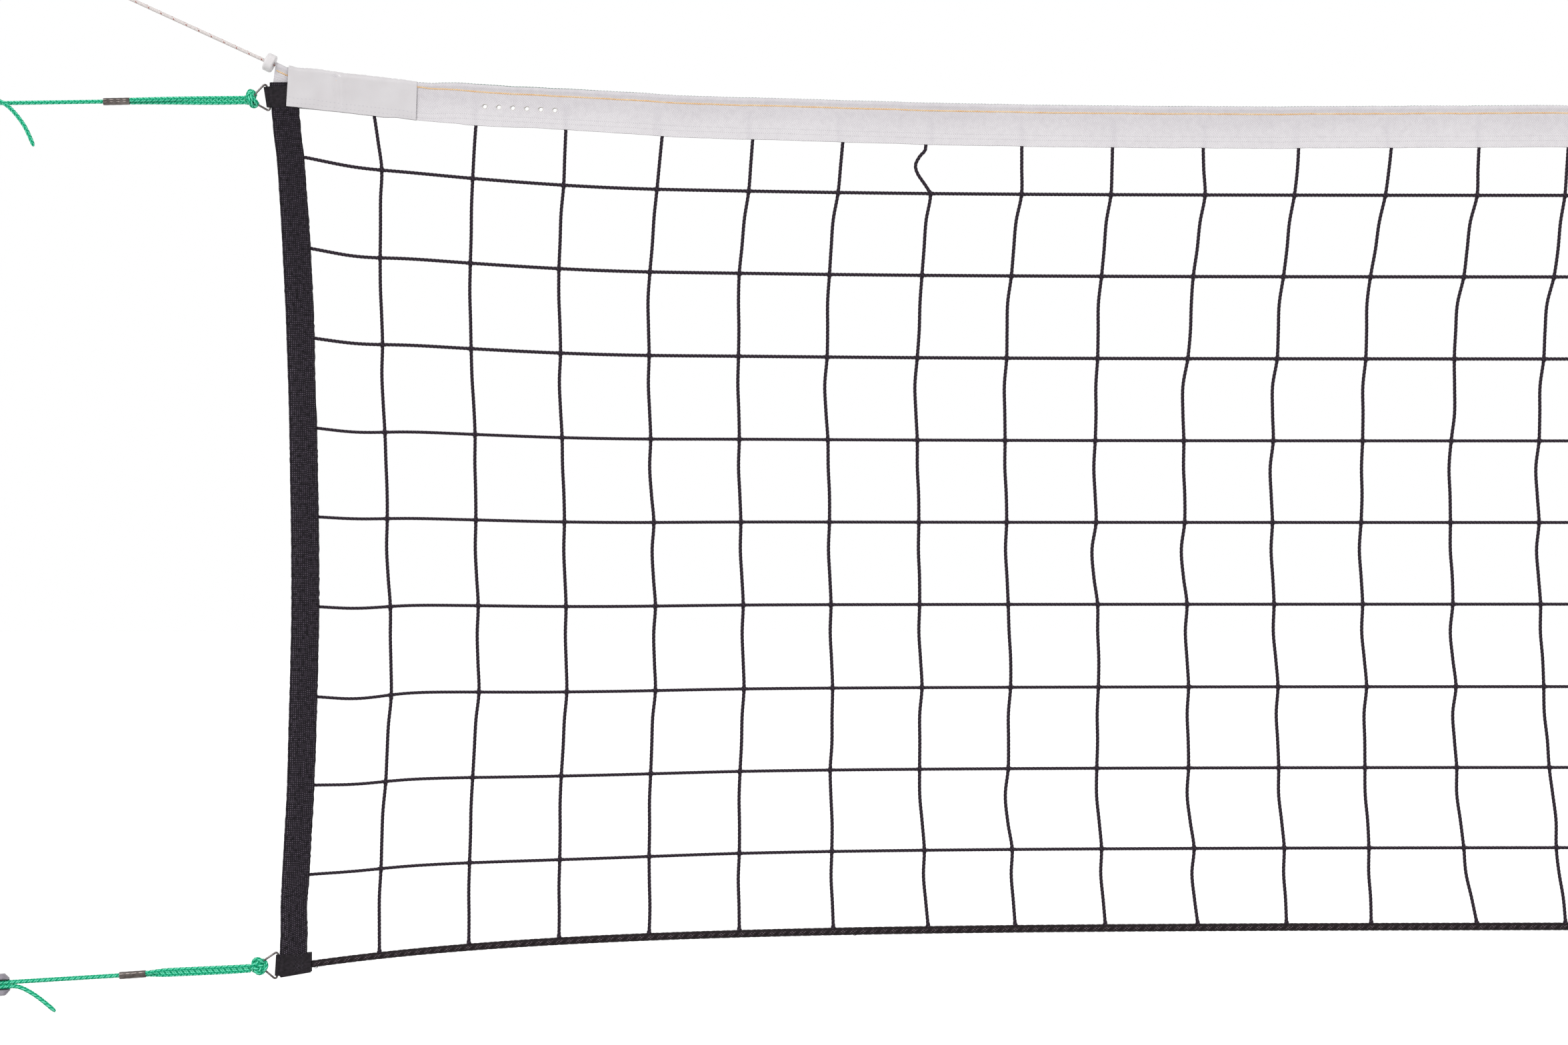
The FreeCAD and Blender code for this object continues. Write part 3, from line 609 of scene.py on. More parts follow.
@dataclass(frozen=True)
class Twill(Finish):
    """Herringbone twill tape: fine diagonals that turn round at every stripe, and two rows of sewn dots.

    Attributes:
        rib: Distance between diagonals, in millimetres.
        stripe: Width of a stripe of the herringbone, in millimetres.
        seams: Distances of the sewn rows below the upper edge, in millimetres.
        stitch: Distance between the stitches of a row, in millimetres.
        through: Colour of what shows through the cloth where the tone is 1.
    """

    rib: float = 2.7
    stripe: float = 9.3
    seams: tuple[float, ...] = (34.4, 39.6)
    stitch: float = 2.3
    through: str = "#a7a2ae"

    def texture(self, tree: bpy.types.NodeTree, shader: bpy.types.Node) -> None:
        """Diagonals run where (along - 1.5 fold(across, stripe)) / rib is a whole number."""
        where = add(tree, "ShaderNodeUVMap", {"uv_map": "cloth"}).outputs[0]
        tone = add(tree, "ShaderNodeAttribute", {"attribute_name": "tone"}).outputs["Fac"]
        wobble = add(tree, NOISE, Vector=where, Scale=45.0, Detail=2.0)
        moved = add(tree, "ShaderNodeVectorMath", MULTIPLY_ADD, _0=wobble.outputs["Color"],
                    _1=(0.0016, 0.0016, 0.0), _2=where)
        parts = add(tree, "ShaderNodeSeparateXYZ", Vector=moved)
        turned = add(tree, MATHS, {"operation": "PINGPONG"}, _0=parts.outputs[1], _1=self.stripe * MM)
        lean = add(tree, MATHS, MULTIPLY_ADD, _0=turned, _1=-1.5, _2=parts)
        phase = add(tree, MATHS, MULTIPLY, _0=lean, _1=TURN / (self.rib * MM))
        ribs = add(tree, MATHS, {"operation": "COSINE"}, _0=phase).outputs[0]
        dots = self.sewn(tree, where)
        # Painted light and shade of soft folds: wide lighter and darker patches
        soft = add(tree, NOISE, Vector=where, Scale=14.0, Detail=3.0)
        folds = add(tree, RANGE, Value=soft, From_Min=0.35, From_Max=0.65, To_Min=0.0, To_Max=1.0)
        # Painted light on the ribs and painted shade between them
        level = add(tree, RANGE, Value=ribs, From_Min=-1.0, From_Max=0.4, To_Min=0.0, To_Max=0.66)
        rubbed = add(tree, NOISE, Vector=where, Scale=160.0, Detail=3.0)
        worn = add(tree, RANGE, Value=rubbed, From_Min=0.35, From_Max=0.6, To_Min=0.62)
        clear = add(tree, MATHS, MULTIPLY, _0=level, _1=worn)
        # Painted shade: the cloth is painted darker within 16 mm of its top edge and lighter from 36 mm down
        size = add(tree, MATHS, {"operation": "ABSOLUTE"}, _0=parts.outputs[1])
        lower = add(tree, RANGE, Value=size, From_Min=0.016, From_Max=0.036, To_Min=0.05, To_Max=0.35)
        whole = add(tree, MATHS, {"operation": "ADD"}, _0=clear, _1=lower)
        depth = add(tree, MATHS, MULTIPLY_ADD, _0=folds, _1=0.12, _2=whole)
        cloth = add(tree, MIX, COLOURS, _0=depth, _6=linear(self.colour), _7=linear(self.light))
        seen = add(tree, MATHS, MULTIPLY, _0=tone, _1=0.15)
        under = add(tree, MIX, COLOURS, _0=seen, _6=cloth.outputs[2], _7=linear(self.through))
        # Painted shade in the stitches' pits
        faint = add(tree, MATHS, MULTIPLY, _0=dots, _1=0.4)
        sewn = add(tree, MIX, COLOURS, _0=faint, _6=under.outputs[2], _7=linear(self.dark))
        tree.links.new(sewn.outputs[2], shader.inputs["Base Color"])
        shader.inputs["Sheen Weight"].default_value = 0.1
        shader.inputs["Sheen Roughness"].default_value = 0.5
        height = add(tree, MATHS, {"operation": "SUBTRACT"}, _0=level, _1=faint)
        self.raise_by(tree, shader, height.outputs[0])

    def sewn(self, tree: bpy.types.NodeTree, where: bpy.types.NodeSocket) -> bpy.types.NodeSocket:
        """1 in the stitches' pits: near a seam, and where cos(turns along) is high."""
        parts = add(tree, "ShaderNodeSeparateXYZ", Vector=where)
        across = add(tree, MATHS, {"operation": "ABSOLUTE"}, _0=parts.outputs[1])
        phase = add(tree, MATHS, MULTIPLY, _0=parts, _1=TURN / (self.stitch * MM))
        wave = add(tree, MATHS, {"operation": "COSINE"}, _0=phase)
        pit = add(tree, RANGE, {"interpolation_type": "SMOOTHSTEP"}, Value=wave, From_Min=0.1, From_Max=0.8)
        near = [
            add(tree, MATHS, {"operation": "COMPARE"}, _0=across, _1=row * MM, _2=0.42 * MM)
            for row in self.seams
        ]
        either = near[0].outputs[0]
        for other in near[1:]:
            either = add(tree, MATHS, {"operation": "MAXIMUM"}, _0=either, _1=other).outputs[0]
        return add(tree, MATHS, MULTIPLY, _0=pit, _1=either).outputs[0]


@dataclass(frozen=True)
class Vinyl(Twill):
    """Smooth coated sheet with an even gloss, soft dents and two rows of small needle holes."""

    def texture(self, tree: bpy.types.NodeTree, shader: bpy.types.Node) -> None:
        """Needle holes as the twill's seams, and wide, shallow dents under a thin gloss."""
        where = add(tree, "ShaderNodeUVMap", {"uv_map": "cloth"}).outputs[0]
        dents = add(tree, NOISE, Vector=where, Scale=26.0, Detail=2.0)
        dots = self.sewn(tree, where)
        # Painted light and shade of the dents: lighter where they stand higher
        shade = add(tree, RANGE, Value=dents, From_Min=0.3, From_Max=0.7)
        sheet = add(tree, MIX, COLOURS, _0=shade, _6=linear(self.colour), _7=linear(self.light))
        # Painted shade in the needle holes
        seen = add(tree, MATHS, MULTIPLY, _0=dots, _1=0.35)
        mixed = add(tree, MIX, COLOURS, _0=seen, _6=sheet.outputs[2], _7=linear(self.dark))
        tree.links.new(mixed.outputs[2], shader.inputs["Base Color"])
        shader.inputs["Coat Weight"].default_value = 0.35
        shader.inputs["Coat Roughness"].default_value = 0.18
        height = add(tree, MATHS, {"operation": "SUBTRACT"}, _0=dents, _1=seen)
        self.raise_by(tree, shader, height.outputs[0])


@dataclass(frozen=True)
class Solid(Finish):
    """A plain material, metal or moulded, with fine marks of how it was made.

    Attributes:
        metallic: 1 for metal, 0 for plastic.
        grain: Size of the marks, in millimetres.
        draw: How many times longer than wide the marks are along X, as on drawn wire.
        glow: How far light goes into it, in millimetres, as in pale plastic.
    """

    metallic: float = 0.0
    grain: float = 0.5
    draw: float = 1.0
    glow: float = 0.0

    def texture(self, tree: bpy.types.NodeTree, shader: bpy.types.Node) -> None:
        """Marks in colour, gloss and height from one noise on the piece's own place."""
        where = add(tree, "ShaderNodeTexCoord").outputs["Object"]
        drawn = add(tree, "ShaderNodeMapping", Vector=where, Scale=(1 / self.draw, 1.0, 1.0))
        marks = add(tree, NOISE, Vector=drawn, Scale=1 / (self.grain * 3 * MM), Detail=4.0)
        wear = add(tree, NOISE, Vector=where, Scale=120.0, Detail=2.0)
        spread = add(tree, RANGE, Value=marks, From_Min=0.3, From_Max=0.7)
        pale = add(tree, RANGE, Value=wear, From_Min=0.35, From_Max=0.65)
        tint = add(tree, MIX, COLOURS, _0=pale, _6=linear(self.colour), _7=linear(self.light))
        mixed = add(tree, MIX, COLOURS, _6=linear(self.dark), _7=tint.outputs[2])
        share = add(tree, RANGE, Value=spread, To_Min=0.75, To_Max=1.0)
        tree.links.new(share.outputs[0], mixed.inputs[0])
        gloss = add(
            tree, RANGE, Value=spread, To_Min=self.roughness + 0.08, To_Max=max(self.roughness - 0.06, 0.02)
        )
        tree.links.new(mixed.outputs[2], shader.inputs["Base Color"])
        tree.links.new(gloss.outputs[0], shader.inputs["Roughness"])
        shader.inputs["Metallic"].default_value = self.metallic
        if self.glow:
            shader.inputs["Subsurface Weight"].default_value = 0.4
            shader.inputs["Subsurface Radius"].default_value = (1.0, 1.0, 1.0)
            shader.inputs["Subsurface Scale"].default_value = self.glow * MM
        self.raise_by(tree, shader, marks.outputs["Fac"])


# Solution-dyed polypropylene, braided from flat filaments: strong green
# Pale glints painted on the floats as highlights, and the gaps painted dark as shade
GREEN_CORD = Braid(
    "green braided polypropylene", "#12b182", "#00764f", "#84f0cd", 0.5, 0.12, 0.12, gloss=0.03
)
# White polyester braid with one red-brown tracer yarn; grooves painted in shade, floats in highlight
WHITE_ROPE = Braid(
    "white braided polyester", "#e2d9d7", "#a39995", "#eee9e7", 0.55, 0.06, 0.3, tracer="#a2564a", gloss=0.05
)
# Black polyethylene rope, coarsely braided from monofilament: near black
# Grey glints painted along the floats as highlights, and the grooves painted darker as shade
BLACK_ROPE = Braid(
    "black braided polyethylene", "#241b1f", "#0b0809", "#9a8c93", 0.5, 0.15, 0.12, gloss=0.0, filament=0.6,
    rise=0.86
)
# Black twisted polypropylene twine, heat set: near black and matt
# Painted a little lighter on its ridges as highlight, and darker between them as shade
BLACK_TWINE = Braid(
    "black twisted polypropylene", "#352d36", "#1d181e", "#51464f", 0.8, 0.08, 0.06, gloss=0.0
)
# White cotton and polyester tape, woven in herringbone: soft white with fine grey diagonals
# Its ribs are painted light with painted shade between them, and soft folds, its upper part and its stitch
# pits are painted in shade
TWILL = Twill("white herringbone twill", "#bfbabf", "#9d98a0", "#e2dfe1", 0.85, 0.14, 0.2)
# White plasticised vinyl on a woven backing: even and softly glossy
# Its dents are painted lighter where they stand higher, and its needle holes painted in shade
VINYL = Vinyl(
    "white coated vinyl", "#c9c5c7", "#a8a6b0", "#d3d0d2", 0.42, 0.12, 0.4, stitch=4.5, seams=(35.2, 40.6)
)
# Black polypropylene webbing, woven flat: dark with rows of fine glints, drawn at twice their width to show
# The glints are painted highlights on the floats
BAND_WEBBING = Webbing("black woven polypropylene webbing", "#231e26", "#131014", "#978c99", 0.6, 0.3, 0.08)
# The same yarn in a finer strap with a satin face, its sheen painted as faint light stripes
LOOP_WEBBING = Webbing(
    "black satin webbing", "#1b161b", "#100e11", "#302a30", 0.5, 0.2, 0.12, 1.4, 900.0, 99.0, 1.0
)
# Bent steel wire, zinc plated and a little dulled: grey with bright streaks
RING_STEEL = Solid(
    "zinc plated steel wire", "#4c4644", "#1c1918", "#807a79", 0.24, 0.03, metallic=1.0, grain=0.4, draw=3.0
)
# Pressed tin-plated sleeve: darker and smoother than the wire, with small dents
CRIMP_STEEL = Solid(
    "pressed plated steel", "#554e4b", "#1b1817", "#78716e", 0.2, 0.06, metallic=1.0, grain=0.8, draw=2.0
)
# Grey moulded polyamide: even, with a fine spark-eroded grain
CLEAT_PLASTIC = Solid("grey moulded polyamide", "#7d7881", "#655f69", "#98939c", 0.42, 0.03, grain=0.3)
# White moulded polyethylene: waxy, with light going a little way in
STOPPER_PLASTIC = Solid(
    "white moulded polyethylene", "#dad6d7", "#d3cfcf", "#e2dfe0", 0.38, 0.01, grain=0.5, glow=4.0
)
# Spun polyester sewing threads
ORANGE_THREAD = Solid("orange sewing thread", "#efbd76", "#d69c52", "#f7d7a2", 0.6, 0.05, 0.3, grain=0.2)
GREEN_THREAD = Solid("green sewing thread", "#2f6351", "#22493c", "#4c8672", 0.6, 0.05, 0.3, grain=0.2)
HOLE_THREAD = Solid("beige buttonhole thread", "#cfc8ba", "#b9b09f", "#dcd6ca", 0.7, 0.05, 0.3, grain=0.2)
BLACK_THREAD = Solid("black sewing thread", "#242027", "#141216", "#48424b", 0.6, 0.05, 0.2, grain=0.2)


# The net's hang


@dataclass(frozen=True)
class Corner:
    """One corner's tension line, in millimetres.

    Attributes:
        level: "top" or "bottom".
        drop: Height of the ring's middle below the net's top corner.
        slope: How steeply the line goes down outwards, in degrees.
        eye_length: From the ring's tip to the crimp sleeve.
        standing_length: From the crimp sleeve to the cleat.
        hitch_beyond: How far the hitch reaches past the ring's tip.
        front_to_back: Whether the legs lie one in front of the other, not one below the other.
        tilt: How far the ring is turned in its own plane, its upper end outwards, in degrees.
        droop: How far the doubled cord hangs below the line at the hitch.
        sink: How far it hangs below the line at the crimp sleeve.
        together: Share of the doubled cord's run at which its strands begin to close up.
        moved: How far the ring stands from its even place, along X and up.
        longer: How much longer than the part's the ring is from its bar to its tip.
        tail: The free end's points: distance back from the cleat's mouth, and height over the line.
    """

    level: str
    drop: float
    slope: float
    eye_length: float
    standing_length: float
    hitch_beyond: float
    front_to_back: bool
    tilt: float
    droop: float
    sink: float
    together: float
    moved: tuple[float, float]
    longer: float
    tail: tuple[tuple[float, float], ...]


TOP = Corner(
    level="top",
    drop=39.0,
    slope=1.25,
    eye_length=135.7,
    standing_length=149.0,
    hitch_beyond=3.8,
    front_to_back=True,
    tilt=8.5,
    droop=3.1,
    sink=1.5,
    together=0.2,
    moved=(-0.4, 0.0),
    longer=0.8,
    tail=((12.0, 2.5), (29.0, 4.0), (43.0, -3.5), (56.0, -18.5), (65.0, -33.5), (71.0, -50.0)),
)
BOTTOM = Corner(
    level="bottom",
    drop=1006.0,
    slope=4.0,
    eye_length=128.5,
    standing_length=123.5,
    hitch_beyond=14.7,
    front_to_back=False,
    tilt=-3.0,
    droop=3.7,
    sink=1.7,
    together=0.8,
    moved=(-0.5, -1.4),
    longer=1.3,
    tail=((9.0, 0.3), (23.5, -8.0), (37.5, -19.6), (49.2, -31.4)),
)


@dataclass(frozen=True)
class Hang:
    """The slack curves that every piece of the net follows, with the CAD part's own sizes in millimetres.

    Attributes:
        tape_rise: Inset, and how far the tape's edge stands above its even curve there, both measured
        in the photograph. A scratch script measured both in the photograph.
        tape_heights: Inset, and the tape's height there, measured in the same way.
    """

    half_length: float = 4750.0
    z_top: float = 510.675
    first_row_drop: float = 106.0
    mesh: float = 100.0
    rows: int = 9
    slack_share: float = 0.904
    sag: float = 43.2
    settle_head: float = 230.0
    settle_foot: float = 300.0
    level_run: float = 40.0
    tape_inset: float = 5.0
    lift_run: float = 13.0
    rope_slope: float = 24.6
    tape_sag: float = 45.5
    tape_settle: float = 370.0
    fold_outer: float = 3.4
    band_drop: float = 23.0
    band_bow: float = 18.0
    band_foot_shift: float = 11.4
    band_foot_rise: float = 4.3
    bar_stand_off: float = 3.2
    ring_depth: float = 19.0
    tape_rise: tuple[tuple[float, ...], ...] = (
        (110, 140, 158, 168, 180, 192, 205, 300, 400, 450, 590, 750, 900, 1120, 1200, 1420, 1800),
        (0.0, -1.5, -2.1, -1.7, -1.4, 0.0, 1.0, 1.9, 1.9, 0.3, 0.8, -0.6, -1.0, -0.5, 0.5, 2.3, 0.0),
    )
    tape_heights: tuple[tuple[float, ...], ...] = (
        (5, 18, 40, 85, 106, 126, 140, 158, 167, 180, 192, 219, 300, 370, 420),
        (46.0, 43.2, 42.6, 42.5, 43.0, 42.9, 41.0, 41.4, 42.3, 42.5, 44.1, 46.3, 45.2, 45.9, 46.5),
    )

    def tape_top(self, inset: np.ndarray | float) -> np.ndarray:
        """Height of the tape's upper edge.

        It is lifted straight at its end, is z - lift - sag (1 - e^(-inset / settle)) beyond, and stands
        tape_rise above that.
        """
        inset = np.asarray(inset, float)
        start = self.tape_inset + self.lift_run
        lift = self.lift_run * math.tan(math.radians(self.rope_slope))
        fall = lift + self.tape_sag * (1 - np.exp(-np.maximum(inset - start, 0.0) / self.tape_settle))
        even = self.z_top - np.where(inset < start, (inset - self.tape_inset) / self.lift_run * lift, fall)
        return even + np.interp(inset, *self.tape_rise, 0.0)

    def tape_height(self, inset: np.ndarray) -> np.ndarray:
        """Height of the tape, and of the sleeve's lower edge below the tape's upper one."""
        return np.interp(inset, *self.tape_heights)

    def row_height(self, row: np.ndarray | float, inset: np.ndarray | float) -> np.ndarray:
        """Height of a level twine: a mesh apart at the band, then closer by 1 - e^(-inset / settle)."""
        at_band = self.z_top - self.first_row_drop - row * self.mesh
        in_middle = self.z_top - self.first_row_drop - self.sag - row * self.mesh * self.slack_share
        settle = self.settle_head + (self.settle_foot - self.settle_head) * row / self.rows
        return in_middle + (at_band - in_middle) * np.exp(-np.maximum(inset - self.level_run, 0.0) / settle)

    def inset(self, along: np.ndarray) -> np.ndarray:
        """Distance from the net's nearer end, of places measured from its left end."""
        return np.minimum(along, 2 * self.half_length - along)

    @property
    def z_foot(self) -> float:
        """Height of the bottom rope at the side band."""
        return self.z_top - self.first_row_drop - self.rows * self.mesh

    def band_edge(self, z: np.ndarray | float) -> np.ndarray:
        """Inset of the side band's outer edge: shift share + bow sin(pi share), from its head to its foot."""
        head, foot = self.z_top - self.band_drop, self.z_foot + self.band_foot_rise
        share = (head - np.asarray(z, float)) / (head - foot)
        return self.band_foot_shift * share + self.band_bow * np.sin(math.pi * np.clip(share, 0.0, 1.0))

    def along_rope(self, distance: float, above: float = 0.0) -> np.ndarray:
        """A point beyond the head rope's exit from the tape, above or below its line."""
        angle = math.radians(self.rope_slope)
        way = np.array([-math.cos(angle), 0, math.sin(angle)])
        up = np.array([math.sin(angle), 0, math.cos(angle)])
        start = [
            self.tape_inset - self.half_length, 0, float(self.tape_top(self.tape_inset)) - self.fold_outer
        ]
        return np.array(start) + way * distance + up * above

    def ring_centre(self, corner: Corner) -> np.ndarray:
        """The middle of a ring's upright bar at the left end."""
        z = self.z_top - corner.drop
        return np.array([float(self.band_edge(z)) - self.bar_stand_off - self.half_length, 0.0, z])

    def ring_point(self, corner: Corner, x: np.ndarray | float, z: np.ndarray | float) -> np.ndarray:
        """A point of the tilted ring's plane, by its distances from the bar's middle."""
        turn = math.radians(corner.tilt)
        cos, sin = math.cos(turn), math.sin(turn)
        x, z = np.asarray(x, float), np.asarray(z, float)
        centre = self.ring_centre(corner) + [corner.moved[0], 0.0, corner.moved[1]]
        return centre + np.stack([x * cos - z * sin, 0 * x, x * sin + z * cos], -1)

    def outward(self, corner: Corner, distance: float, y: float = 0.0, above: float = 0.0) -> np.ndarray:
        """A point on a corner's line: a distance out from the ring's tip, to the side and above it."""
        angle = math.radians(corner.slope)
        way = np.array([-math.cos(angle), 0, -math.sin(angle)])
        up = np.array([-math.sin(angle), 0, math.cos(angle)])
        tip = self.ring_centre(corner) - [self.ring_depth, 0, 0]
        return tip + way * distance + up * above + [0, y, 0]


HANG = Hang()


class Side(Enum):
    """The two ends of the net."""

    LEFT = "left"
    RIGHT = "right"

    def patches(self, made: list[Patch]) -> list[Patch]:
        """Patches of the left end, mirrored at the right."""
        return made if self is Side.LEFT else [p.mirrored() for p in made]

    def points(self, path: np.ndarray) -> np.ndarray:
        """Points of the left end, mirrored at the right."""
        return path * np.array([1.0 if self is Side.LEFT else -1.0, 1.0, 1.0])

    def at(self, corner: Corner) -> str:
        """The words that begin the names of a corner's pieces, such as left_top."""
        return f"{self.value}_{corner.level}"


# Cords


@dataclass
class HeadRopeEnd:
    """The free end of the head rope: taut through its stopper, with an eye held by a ferrule.

    Attributes:
        diameter: Its diameter.
        run: From its exit from the tape to the ferrule.
        ferrule_length: Length of the ferrule.
        low: How far above the rope's line the eye's other leg lies, below 0 for below it.
        eye_width: Distance between the two legs in the eye.
        lay: How it is braided.
    """

    side: Side
    diameter: float = 4.0
    run: float = 200.0
    ferrule_length: float = 26.0
    low: float = -4.6
    eye_width: float = 20.0
    lay: Lay = field(default_factory=lambda: Lay(8, 1.54, 0.9, 0.25, 10, 0.0, 5.3))

    def route(self) -> np.ndarray:
        """The route's points, with one more on its long straight stretch, as far from the eye as the next."""
        upper, lower = (self.eye_width + self.low) / 2, (self.low - self.eye_width) / 2
        line = [(0, 0), (217.5, 0), (234.5, 0), (250, upper), (276, upper), (276, lower), (250, lower)]
        line += [(234.5, self.low), (217.5, self.low)]
        return np.array([HANG.along_rope(distance, above) for distance, above in line])

    def make(self) -> bpy.types.Object:
        path = self.side.points(evenly(nurbs_path("route", self.route()), 0.42))
        name = f"{self.side.value}_head_rope_free_end"
        piece = build(name, [tube(path, self.diameter / 2, 32, self.lay)], WHITE_ROPE, "net")
        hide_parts(f"{self.side.value}_head_rope_end")
        length = lengths_along(path)[-1] * MM
        log.info("%s is %.3f m long", name, length)
        return piece

    def ferrule(self) -> "PressedTube":
        """The pressed sleeve that holds the eye's two legs."""
        way = unit(HANG.along_rope(1.0) - HANG.along_rope(0.0))
        start = HANG.along_rope(self.run, self.low / 2)
        names = f"{self.side.value}_eye_ferrule", f"{self.side.value}_head_rope_ferrule", "net"
        return PressedTube(*names, self.side, start, way, self.ferrule_length, tall=5.8, deep=3.8, wall=1.2)


@dataclass
class TensionCord:
    """A corner's single green cord: out through the cleat, round its loop, back and down as a free tail.

    Attributes:
        diameter: Its diameter.
        crimp_gap: From the end of the eye to the crimp sleeve.
        crimp_length: Length of the crimp sleeve.
        cleat_length: Length of the cleat.
        spacing: Distance between the legs that pass through the cleat.
        lay: How it is braided.
    """

    side: Side
    corner: Corner
    diameter: float = 5.0
    crimp_gap: float = 0.2
    crimp_length: float = 29.5
    cleat_length: float = 32.0
    spacing: float = 5.2
    lay: Lay = field(default_factory=lambda: Lay(roll=0.125))

    def route(self) -> np.ndarray:
        """The route's points, with three more on its long straight stretches, near the loop and the tail."""
        corner = self.corner
        mouth = corner.eye_length + self.crimp_length + corner.standing_length
        out = mouth + self.cleat_length
        loop = [(11.0, 0.0), (34.0, 0.0), (55.0, -9.4), (76.0, -9.4), (76.0, 14.6), (55.0, 14.6)]
        loop += [(34.0, self.spacing), (11.0, self.spacing)]
        line = [(corner.eye_length + self.crimp_gap, 0.0, -corner.sink)]
        line += [(out + distance, aside, 0.0) for distance, aside in loop]
        line += [(mouth + 5.0, self.spacing, 0.0)]
        line += [(mouth - distance, self.spacing, above) for distance, above in corner.tail]
        if corner.front_to_back:
            points = [HANG.outward(corner, distance, -aside, above) for distance, aside, above in line]
        else:
            points = [HANG.outward(corner, distance, 0.0, above - aside) for distance, aside, above in line]
        return np.array(points)

    def make(self) -> bpy.types.Object:
        path = self.side.points(evenly(nurbs_path("route", self.route()), 0.55))
        place = self.side.at(self.corner)
        name = f"{place}_green_cord"
        to_end = lengths_along(path)[-1] - lengths_along(path)
        radius = self.diameter / 2 * (1 - 0.45 * bell(to_end, 2.2))
        piece = build(name, [tube(path, radius, 28, self.lay)], GREEN_CORD, f"{place}_line")
        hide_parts(f"{place}_tension_cord")
        log.info("%s is %.3f m long", name, lengths_along(path)[-1] * MM)
        return piece

    def crimp(self) -> "PressedTube":
        """The pressed sleeve between the eye and the single cord."""
        way = unit(HANG.outward(self.corner, 1.0) - HANG.outward(self.corner, 0.0))
        start = HANG.outward(self.corner, self.corner.eye_length + self.crimp_gap, 0.0, -self.corner.sink)
        place = self.side.at(self.corner)
        names = f"{place}_pressed_crimp", f"{place}_crimp_sleeve", f"{place}_line"
        return PressedTube(*names, self.side, start, way, self.crimp_length, tall=4.1, deep=4.1)


# The net


def smooth(value: np.ndarray | float, low: float, high: float) -> np.ndarray:
    """0 below low, 1 above high, and 3t^2 - 2t^3 between."""
    t = np.clip((np.asarray(value, float) - low) / (high - low), 0.0, 1.0)
    return t * t * (3 - 2 * t)


def bell(distance: np.ndarray | float, width: float) -> np.ndarray:
    """e^(-(distance / width)^2)."""
    return np.exp(-((np.asarray(distance, float) / width) ** 2))


